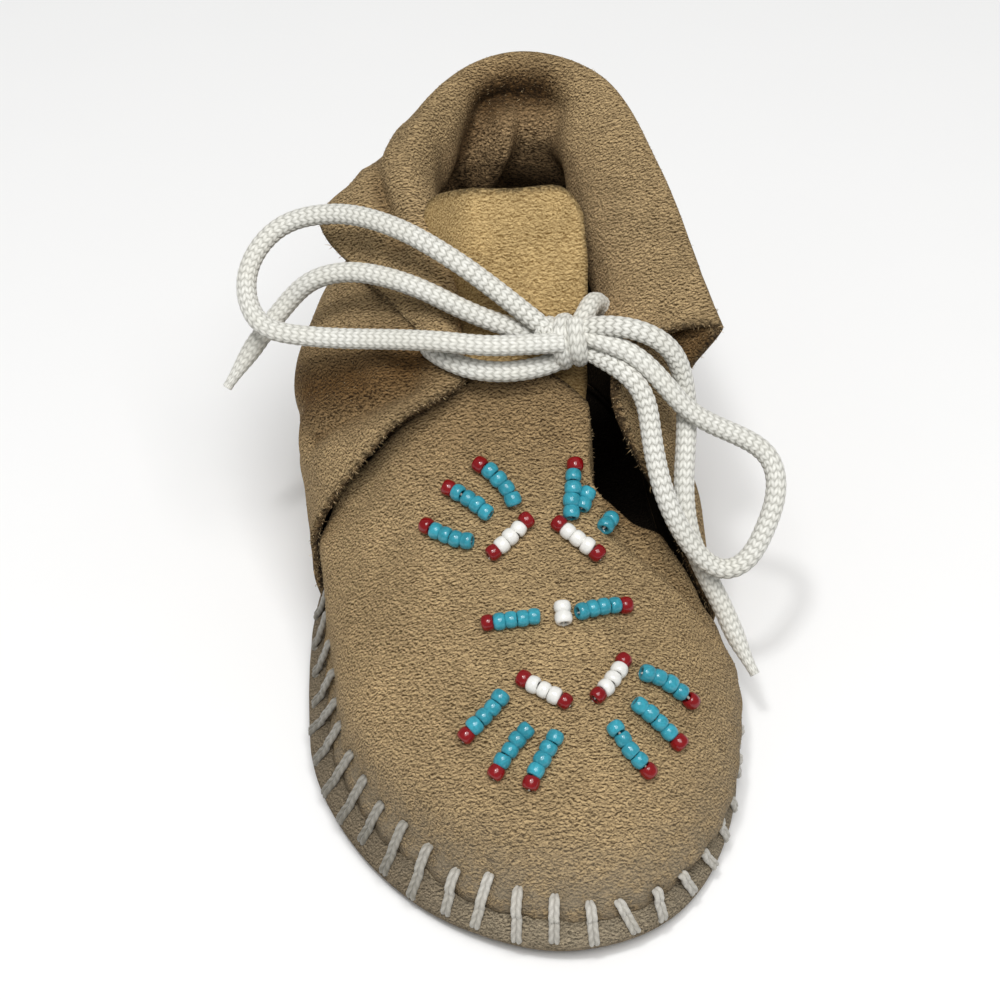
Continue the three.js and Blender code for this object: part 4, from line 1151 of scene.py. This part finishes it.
def make_tongue():
    rise, top, across = TONGUE_GRID
    rows = np.concatenate([np.linspace(0, 1, rise), np.linspace(1, 2, top)[1:]])
    grid = tongue_grid(rows, np.linspace(-1, 1, across))
    made = grid + grid_normals(grid) * slack(grid, "tongue")[..., None]
    points, faces, marks = leather_shell(made, LEATHER / 2, LEATHER / 2, 0.3)
    marks["shade"] = 0.4 * (1 - smoothstep(points[:, 2], 42, 50))
    material = suede("golden_suede", colours().tongue_light[:], colours().tongue_dark[:], 1.0, 0.16, 0.0003)
    piece = new_piece("tongue_suede", points, faces, material, marks)
    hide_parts("tongue")


def braid(run, radius):
    """Relief of a plaited cord, columns of V-shaped stitches round it, and its grooves."""
    turn = np.arange(CORD_AROUND) / CORD_AROUND
    x = np.abs((turn * BRAID_COLUMNS) % 1 - 0.5)[None]
    along = run[:, None] / BRAID_PITCH + x
    bar = np.sqrt(np.maximum(0, 1 - (2 * (along % 1) - 1) ** 2))
    arm = np.sqrt(np.maximum(0, 1 - ((x - 0.25) / 0.29) ** 2))
    bump = bar ** 0.8 * arm ** 0.6
    return BRAID_DEPTH * radius * (bump - BRAID_LEVEL), 1 - bump


def cord(points, radius, bare=False):
    """A braided cord along a line of points; a bare tip at its far end tapers."""
    line, _ = evenly(catmull(points, np.linspace(0, 1, 40 * len(points))), CORD_STEP)
    for _ in range(EASE_PASSES):
        line[1:-1] += 0.5 * ((line[:-2] + line[2:]) / 2 - line[1:-1])
    line, run = evenly(line, CORD_STEP)
    radii = np.full(len(line), radius)
    if bare:
        radii *= 0.5 + 0.5 * smoothstep(run[-1] - run, 0, TIP_TAPER)
    relief, groove = braid(run, radius)
    mesh, faces = tube(line, radii, CORD_AROUND, relief * (radii / radius)[:, None])
    drop = (line[:, None, 2] - mesh[:-2, 2].reshape(len(line), CORD_AROUND)) / radius
    # Painted shade in the braid's grooves and on the cord's lower side
    groove_and_underside_shade = groove + 0.65 * smoothstep(drop, -0.2, 0.9)
    return mesh, faces, np.concatenate([groove_and_underside_shade.ravel(), [0.5, 0.5]]), line, run[-1]


def lace_piece(name, made):
    material = yarn("lace_yarn", colours().lace[:], 2600.0, 1.0)
    piece = new_piece(name + "_cord", made[0], made[1], material, {"groove": made[2]})
    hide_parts(name)
    return piece


def cord_route(name):
    """A cord's points, run on into the knot or behind the strand that it leaves."""
    route = [np.array(p, float) for p in LACE[name]]
    if name == "lace_end_right":
        return [np.array(p, float) for p in END_BEHIND] + route
    toward = unit(np.array(KNOT_AT) - route[0]) if "end" in name else unit(route[0] - route[1])
    first = route[0] + toward * KNOT_BITE[name]
    last = route[-1] + unit(route[-1] - route[-2]) * KNOT_BITE[name]
    return [first, *route, last] if "loop" in name else [first, *route]


def make_lace():
    radius = sizes().lace / MM / 2
    for name, far_end in (
        ("lace_loop_left", "knot"), ("lace_loop_right", "knot"), ("lace_end_left", "bare"), ("lace_end_right", "bare"),
    ):
        made = cord(cord_route(name), radius, far_end == "bare")
        piece = lace_piece(name, made)
    for name, route in ANKLE_STRANDS.items():
        lace_piece(name, cord(route, radius))


def make_knot():
    axis = unit(np.array(KNOT_AXIS))
    up = unit(np.cross(axis, KNOT_FACING))
    turn = np.linspace(KNOT_START, 2 * math.pi * KNOT_TURNS, 100)
    ring = np.array(KNOT_AT) + np.outer(np.cos(turn) * KNOT_HIGH, up)
    ring = ring + np.outer(np.sin(turn) * KNOT_DEEP, np.cross(up, axis))
    ring = ring + np.outer((turn - turn.mean()) * KNOT_RISE, axis)
    lace_piece("lace_knot", cord(ring[::4], sizes().lace / MM / 2 * KNOT_PRESSED))


def stitch_rows():
    """The whip stitches, left to right: the middle of each thread, its way along the seam and its upper hole."""
    pitch = sizes().stitch_pitch / MM
    rng = np.random.default_rng(sizes().seed)
    start = np.interp(STITCHED[0], SEAM_PLACES, SEAM_RUN)
    total = np.interp(STITCHED[1], SEAM_PLACES, SEAM_RUN) - start
    shares = np.linspace(0, 1, 800)
    places = vamp_places(shares)
    q = 1 - np.linspace(0, 0.5, 60)
    rows = []
    for k in range(int(total // pitch) + 1):
        u = np.interp(start + k * pitch + rng.normal(0, STRAY_ALONG), SEAM_RUN, SEAM_PLACES)
        edge, side, press = sole_edge(u), sole_side(u), seam_press(u)
        tangent = np.array([-side[1], side[0]])
        column = vamp_grid([np.interp(u, places, shares)], q)[0]
        rise = column[:, 2] - SEAM_Z - lift(column[:, 1])
        flank = (edge - column[:, :2]) @ side + flank_move(u, rise)
        high = np.interp(u, STITCH_TOP["place"], STITCH_TOP["z"]) + rng.normal(0, STRAY_TOP)
        low = np.interp(u, STITCH_LOW["place"], STITCH_LOW["z"]) + rng.normal(0, STRAY_LOW)
        lean = rng.normal(*STITCH_LEAN)

        def surface(z):
            rim = np.interp(z, RIM_FACE["z"], RIM_FACE["inset"]) + press * smoothstep(z, PRESS_START, RIM_TOP)
            return np.where(z > SEAM_Z, np.interp(z, rise + SEAM_Z, flank), rim)

        # The thread spans the seam, drawn a little to the leather but clear of it, and dives into its two holes
        share = np.linspace(0, 1, 9)
        z = high + (low - high) * share
        chord = surface(high) + (surface(low) - surface(high)) * share
        drawn = (1 - THREAD_PULL) * chord + THREAD_PULL * surface(z)
        inset = np.minimum(drawn - THREAD_OVER, surface(z) - THREAD_CLEAR)
        inset[0], inset[-1] = surface(high) - HOLE_OVER[0], surface(low) - HOLE_OVER[1]
        inset = np.concatenate([[inset[0] + HOLE_DIVE[0]], inset, [inset[-1] + HOLE_DIVE[1]]])
        z = np.concatenate([[high - 0.1], z, [low]])
        slant = np.linspace(-lean, lean, len(z))
        flat = edge - side * inset[:, None] + tangent * slant[:, None]
        line = np.concatenate([flat, (z + lift(edge[1]))[:, None]], 1)
        rows.append({"line": line, "along": np.array([*tangent, 0.0]), "top": line[1]})
    return rows


def make_stitches():
    width = sizes().stitch_width / MM
    heap = Heap()
    turn = np.arange(THREAD_AROUND)[None] * 2 * math.pi / THREAD_AROUND
    for row in stitch_rows():
        line, run = evenly(catmull(row["line"], np.linspace(0, 1, 60)), THREAD_STEP)
        ends = np.minimum(1, np.minimum(run, run[-1] - run) * END_TAPER + END_WIDTH)
        # Greyer towards the lower hole, and painted shade on the stitches of the left flank
        greyer_low = THREAD_LOW_GREY * smoothstep(run / run[-1], *LOW_GREY_FROM)[:, None]
        greyed = THREAD_LEFT_SHADE * smoothstep(-row["top"][0], *THREAD_SHADE_FROM)
        for ply in (-1, 1):
            twist = np.sin(2 * turn + ply * 2 * math.pi * run[:, None] / TWIST_LENGTH)
            apart = np.outer(ends, row["along"] * ply * width * PLY_APART)
            mesh, faces = tube(line + apart, width * PLY_RADIUS * ends, THREAD_AROUND, TWIST_DEPTH * twist)
            # Painted shade in the grooves of the twist, with the greying and the left flank's painted shade
            groove = np.concatenate([(TWIST_GROOVE_SHADE - TWIST_GROOVE_SHADE * twist + greyer_low + greyed).ravel(), [0.5, 0.5]])
            heap.add(mesh, faces, groove=groove)
    heap.piece("whip_stitches", yarn("stitch_thread", colours().thread[:], 3200.0, 0.35, 0.6))


def bead_mesh(radius, length, rng):
    """A seed bead: rounded outside, with a small hole along x."""
    bow = 0.24 + rng.normal(0, 0.02)
    turns = np.linspace(0, 2 * math.pi, BEAD_OUTLINE + 1)[:-1]
    x = np.sign(np.cos(turns)) * np.abs(np.cos(turns)) ** 0.8 * length / 2
    r = radius * (0.63 + 0.37 * np.sign(np.sin(turns)) * np.abs(np.sin(turns)) ** (0.85 + bow))
    a = np.arange(BEAD_AROUND) * 2 * math.pi / BEAD_AROUND
    ring = np.stack([np.zeros(BEAD_AROUND), np.cos(a), np.sin(a)], 1)
    points = (x[None, :, None] * np.array([1.0, 0, 0]) + ring[:, None] * r[None, :, None]).reshape(-1, 3)
    i, j = np.meshgrid(np.arange(BEAD_AROUND), np.arange(BEAD_OUTLINE), indexing="ij")
    p, n, j1 = i * BEAD_OUTLINE, ((i + 1) % BEAD_AROUND) * BEAD_OUTLINE, (j + 1) % BEAD_OUTLINE
    faces = np.stack([p + j, p + j1, n + j1, n + j], -1).reshape(-1, 4)
    # Painted shade towards the bead's ends, where it meets its neighbours round the hole
    groove = np.tile(smoothstep(r, radius * 0.62, radius * 0.3), BEAD_AROUND)
    return points, faces.tolist(), groove


def make_beads():
    rng = np.random.default_rng(sizes().seed + 1)
    radius = sizes().bead / MM / 2
    heaps = {"t": Heap(), "r": Heap(), "w": Heap()}
    threads = Heap()
    for start, turn, beads in BEAD_ROWS.values():
        heading = row_heading(turn)
        bow = rng.normal(0, ROW_BOW)
        seats = []
        for k in range(len(beads)):
            stray = bow * math.sin(math.pi * k / max(1, len(beads) - 1)) * 2 + rng.normal(0, BEAD_STRAY)
            place = np.asarray(start) + heading * BEAD_PITCH * k
            seats.append(place + np.array([-heading[1], heading[0]]) * stray)
        over = np.array([[*p, vamp_height(*p)] for p in seats])
        grid = np.array([[[p[0] + dx, p[1] + dy, vamp_height(p[0] + dx, p[1] + dy)] for dy in (-0.5, 0, 0.5)]
                         for p in seats for dx in (-0.5, 0, 0.5)]).reshape(len(seats), 3, 3, 3)
        normals = unit(np.cross(grid[:, 2, 1] - grid[:, 0, 1], grid[:, 1, 2] - grid[:, 1, 0]))
        over = vamp_relief(over, normals) + normals * (radius * BEAD_SEAT)
        along = np.gradient(over, axis=0)
        for k, kind in enumerate(beads):
            way = unit(along[k] + rng.normal(0, BEAD_TILT, 3) * np.linalg.norm(along[k]))
            side = unit(np.cross(normals[k], way))
            top = np.cross(way, side)
            size = rng.uniform(*BEAD_SIZES)
            length = min(np.linalg.norm(along[k]) * BEAD_FILL, LONGEST_BEAD)
            length *= rng.uniform(*BEAD_LENGTHS) if kind != "r" else RED_LENGTH
            mesh, faces, groove = bead_mesh(radius * size, length, rng)
            mesh = over[k] + mesh @ np.stack([way, side, top])
            heaps[kind].add(mesh, faces, groove=groove, tone=rng.uniform(0, 1))
        dive = normals * radius * THREAD_DIVE
        ends = np.stack([over[0] - along[0] * 0.5 - dive[0], *over, over[-1] + along[-1] * 0.5 - dive[-1]])
        mesh, faces = tube(catmull(ends, np.linspace(0, 1, 6 * len(ends))), np.full(6 * len(ends), BEAD_THREAD), 6, 0.0)
        threads.add(mesh, faces, groove=0.2)
    c = colours()
    rows = {"t": ("turquoise_beads", c.turquoise[:], 0.32, "beads_turquoise"),
            "r": ("red_beads", c.red[:], 0.2, None), "w": ("white_beads", c.white[:], 0.12, "beads_white")}
    for kind, (name, colour, streak, slot) in rows.items():
        piece = heaps[kind].piece(name, glass_paste(name + "_glass", colour, streak))
        nodes = [n for n, row in BEAD_ROWS.items() if ("w" in row[2]) == (kind == "w")]
        if slot:
            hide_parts(*nodes)
    threads.piece("bead_threads", yarn("bead_thread", (0.75, 0.73, 0.66), 3000.0, 0.4))


def fibres(heap, roots, ways, lengths, radius, rng):
    """Short bent hairs, each closed and tapered, from roots along ways."""
    bend = unit(rng.normal(size=roots.shape))
    side = unit(np.cross(ways, bend))
    ring = rings(side, np.cross(ways, side), 3)
    r = radius * rng.uniform(0.7, 1.3, len(roots))[:, None, None]
    middle = roots + ways * (0.55 * lengths)[:, None] + bend * (0.12 * lengths)[:, None]
    tip = roots + ways * lengths[:, None] - bend * (0.1 * lengths)[:, None]
    points = np.concatenate([roots[:, None] + ring * r, middle[:, None] + ring * r * 0.8, tip[:, None]], 1)
    faces = [[2, 1, 0]]
    for k in range(3):
        n = (k + 1) % 3
        faces += [[k, n, n + 3], [k, n + 3, k + 3], [k + 3, n + 3, 6]]
    all_faces = (np.array(faces)[None] + 7 * np.arange(len(roots))[:, None, None]).reshape(-1, 3)
    tone = np.repeat(rng.uniform(0, 1, len(roots)), 7)
    heap.add(points.reshape(-1, 3), all_faces.tolist(), tone=tone)


def fibre_suede(name, tips, roots):
    material, tree, shader = new_material(name)
    wire(tree, shader, {
        "Base Color": mixed(tree, mark(tree, "tone"), roots, tips), "Roughness": 0.9, "Specular IOR Level": 0.1})
    return material


def make_fuzz():
    """Pale fibres along the cut edges of both fronts and the hem, so many to a millimetre."""
    rng = np.random.default_rng(sizes().seed + 2)
    wrap = wrap_form(*spread(EDGE_HAIR_GRID))
    heap = Heap()
    for line, inner, per_mm in (
        (wrap[-1, 6:100], wrap[-2, 6:100], 14), (wrap[0, 6:], wrap[1, 6:], 10), (wrap[:, -1], wrap[:, -2], 7),
    ):
        run = run_along(line)
        count = int(run[-1] * per_mm)
        at = rng.uniform(0, run[-1], count)
        root = at_run(at, run, line)
        out = unit(root - at_run(at, run, inner))
        across = unit(np.cross(out, at_run(at, run, np.gradient(line, axis=0))))
        root = root + across * rng.uniform(-0.8, 0.8, (count, 1)) * LEATHER / 2 - out * 0.15
        ways = unit(out + across * rng.normal(0, 0.7, (count, 1)) + rng.normal(0, 0.45, (count, 3)))
        fibres(heap, root, ways, rng.gamma(4.0, 0.12, count) + 0.15, 0.06, rng)
    c = colours()
    heap.piece("cut_edge_fibres", fibre_suede("edge_fibre", toned(c.fibre_light, 1.25), c.fibre_dark[:]))


def lying(grid, normals, count, heap, rng, bare=None):
    """Nap hairs spread evenly over a grid's surface but for its bare places, lying mostly across the shoe."""
    cell = np.linalg.norm(np.cross(np.diff(grid, axis=0)[:, :-1], np.diff(grid, axis=1)[:-1]), axis=-1)
    if bare is not None:
        cell = cell * (bare[:-1, :-1] < 0.05)
    pick = rng.choice(cell.size, count, p=(cell / cell.sum()).ravel())
    i, j = np.unravel_index(pick, cell.shape)
    a, b = rng.uniform(0, 1, (2, count, 1))
    root = grid[i, j] * (1 - a) * (1 - b) + grid[i + 1, j] * a * (1 - b)
    root = root + grid[i, j + 1] * (1 - a) * b + grid[i + 1, j + 1] * a * b
    n = normals[i, j]
    lay = np.where(rng.uniform(size=(count, 1)) < 0.5, 1.0, -1.0) * np.array(HAIR_LAY)
    lay = lay + rng.normal(0, 0.5, (count, 3))
    lay = unit(lay - n * (lay * n).sum(-1, keepdims=True))
    ways = unit(lay + n * rng.uniform(*HAIR_RISE, (count, 1)))
    fibres(heap, root - n * 0.06, ways, HAIR_LENGTH * rng.uniform(0.6, 1.4, count), HAIR_RADIUS, rng)


def make_nap():
    """Raised hairs of the suede's nap over the vamp, the heel wrap and the inner side of its cuff."""
    rng = np.random.default_rng(sizes().seed + 3)
    c = colours()
    material = fibre_suede("nap_fibre", c.fibre_light[:], c.fibre_dark[:])
    heap = Heap()
    f, q = np.linspace(1, 0, VAMP_HAIR_GRID[0]), np.linspace(0.02, 0.97, VAMP_HAIR_GRID[1])
    made, normals, _, _, gap = vamp_form(f, q)
    lying(made, normals, VAMP_HAIRS, heap, rng, gap)
    heap.piece("vamp_nap", material)
    heap = Heap()
    made = wrap_form(*spread(WRAP_HAIR_GRID))
    normals = grid_normals(made)
    lying(made + normals * LEATHER / 2, normals, WALL_HAIRS, heap, rng)
    made, normals = made[:, CUFF_ROWS], normals[:, CUFF_ROWS]
    lying(made - normals * LEATHER / 2, -normals, CUFF_HAIRS, heap, rng)
    heap.piece("heel_wrap_nap", material)


def make_stage():
    mesh = bpy.data.meshes.new("floor")
    corners = [(x * FLOOR_REACH, y * FLOOR_REACH, 0) for x, y in ((-1, -1), (1, -1), (1, 1), (-1, 1))]
    mesh.from_pydata(corners, [], [(0, 1, 2, 3)])
    material, tree, shader = new_material("floor_card")
    card = colours().floor[:]
    grain = noise(tree, object_place(tree), 40.0, 3.0)["Fac"]
    wire(tree, shader, {
        "Base Color": mixed(tree, grain, toned(card, 0.985), card), "Roughness": 0.9, "Specular IOR Level": 0.1})
    mesh.materials.append(material)
    floor = bpy.data.objects.new("floor", mesh)
    bpy.context.scene.collection.objects.link(floor)
    world = bpy.data.worlds.new("studio")
    bpy.context.scene.world = world
    world.use_nodes = True
    wire(world.node_tree, world.node_tree.nodes["Background"], {0: (1.0, 1.0, 1.0), 1: SKY})
    for name, (spot, size, power) in LIGHTS.items():
        light = bpy.data.lights.new(name, "AREA")
        light.size, light.energy = size, power
        lamp = bpy.data.objects.new(name, light)
        lamp.location = spot
        lamp.rotation_euler = (Vector(LIGHT_AIM) - Vector(spot)).to_track_quat("-Z", "Y").to_euler()
        bpy.context.scene.collection.objects.link(lamp)
    camera = bpy.data.cameras.new("camera")
    camera.sensor_width, camera.lens = SENSOR, LENS
    camera.shift_x, camera.shift_y = SHIFT
    view = bpy.data.objects.new("camera", camera)
    eye, aim = placed(EYE), placed(AIM)
    view.location = eye
    view.rotation_euler = Vector(aim - eye).to_track_quat("-Z", "Y").to_euler()
    bpy.context.scene.collection.objects.link(view)
    bpy.context.scene.camera = view
    bpy.context.scene.view_settings.view_transform = "Standard"


def operator(name, label, words, make):
    """An operator that makes one piece or group of like pieces."""

    def execute(self, context):
        make()
        return {"FINISHED"}

    kind = "MOCCASIN_OT_" + name
    return type(kind, (bpy.types.Operator,), {
        "bl_idname": "moccasin." + name, "bl_label": label, "__doc__": words, "bl_options": {"REGISTER", "UNDO"},
        "execute": execute,
    })


OPERATORS = (
    operator("stage", "Stage", "Floor, lights and camera", make_stage),
    operator("lace", "Lace", "Loops, ends and ankle strands of the braided lace", make_lace),
    operator("knot", "Knot", "The knot of the bow", make_knot),
    operator("sole", "Sole", "Sole with its turned-up rim", make_sole),
    operator("vamp", "Vamp", "Vamp with its creases and puckers", make_vamp),
    operator("wrap", "Heel wrap", "Heel wrap with its folded cuff", make_wrap),
    operator("tongue", "Tongue", "Golden tongue", make_tongue),
    operator("stitches", "Whip stitches", "Whip stitches round the toe", make_stitches),
    operator("fuzz", "Edge fibres", "Pale fibres along the cut edges", make_fuzz),
    operator("nap", "Nap", "Raised hairs of the suede's nap", make_nap),
    operator("beads", "Beads", "Rows of seed beads and their threads", make_beads),
)


class MOCCASIN_PT_pieces(bpy.types.Panel):
    """Lists the sizes, the colours and the pieces"""

    bl_label = "Baby moccasin"
    bl_idname = "MOCCASIN_PT_pieces"
    bl_space_type = "VIEW_3D"
    bl_region_type = "UI"
    bl_category = "Moccasin"

    def draw(self, context):
        for group in (context.scene.moccasin_sizes, context.scene.moccasin_colours):
            box = self.layout.box()
            for name in group.__annotations__:
                box.prop(group, name)
        for made in OPERATORS:
            self.layout.operator(made.bl_idname)


CLASSES = (MoccasinSizes, MoccasinColours, *OPERATORS, MOCCASIN_PT_pieces)


def register():
    for made in CLASSES:
        bpy.utils.register_class(made)
    bpy.types.Scene.moccasin_sizes = PointerProperty(type=MoccasinSizes)
    bpy.types.Scene.moccasin_colours = PointerProperty(type=MoccasinColours)


def unregister():
    del bpy.types.Scene.moccasin_colours
    del bpy.types.Scene.moccasin_sizes
    for made in reversed(CLASSES):
        bpy.utils.unregister_class(made)


def main():
    register()
    for made in OPERATORS:
        group, name = made.bl_idname.split(".")
        getattr(getattr(bpy.ops, group), name)()


if __name__ == "__main__":
    main()
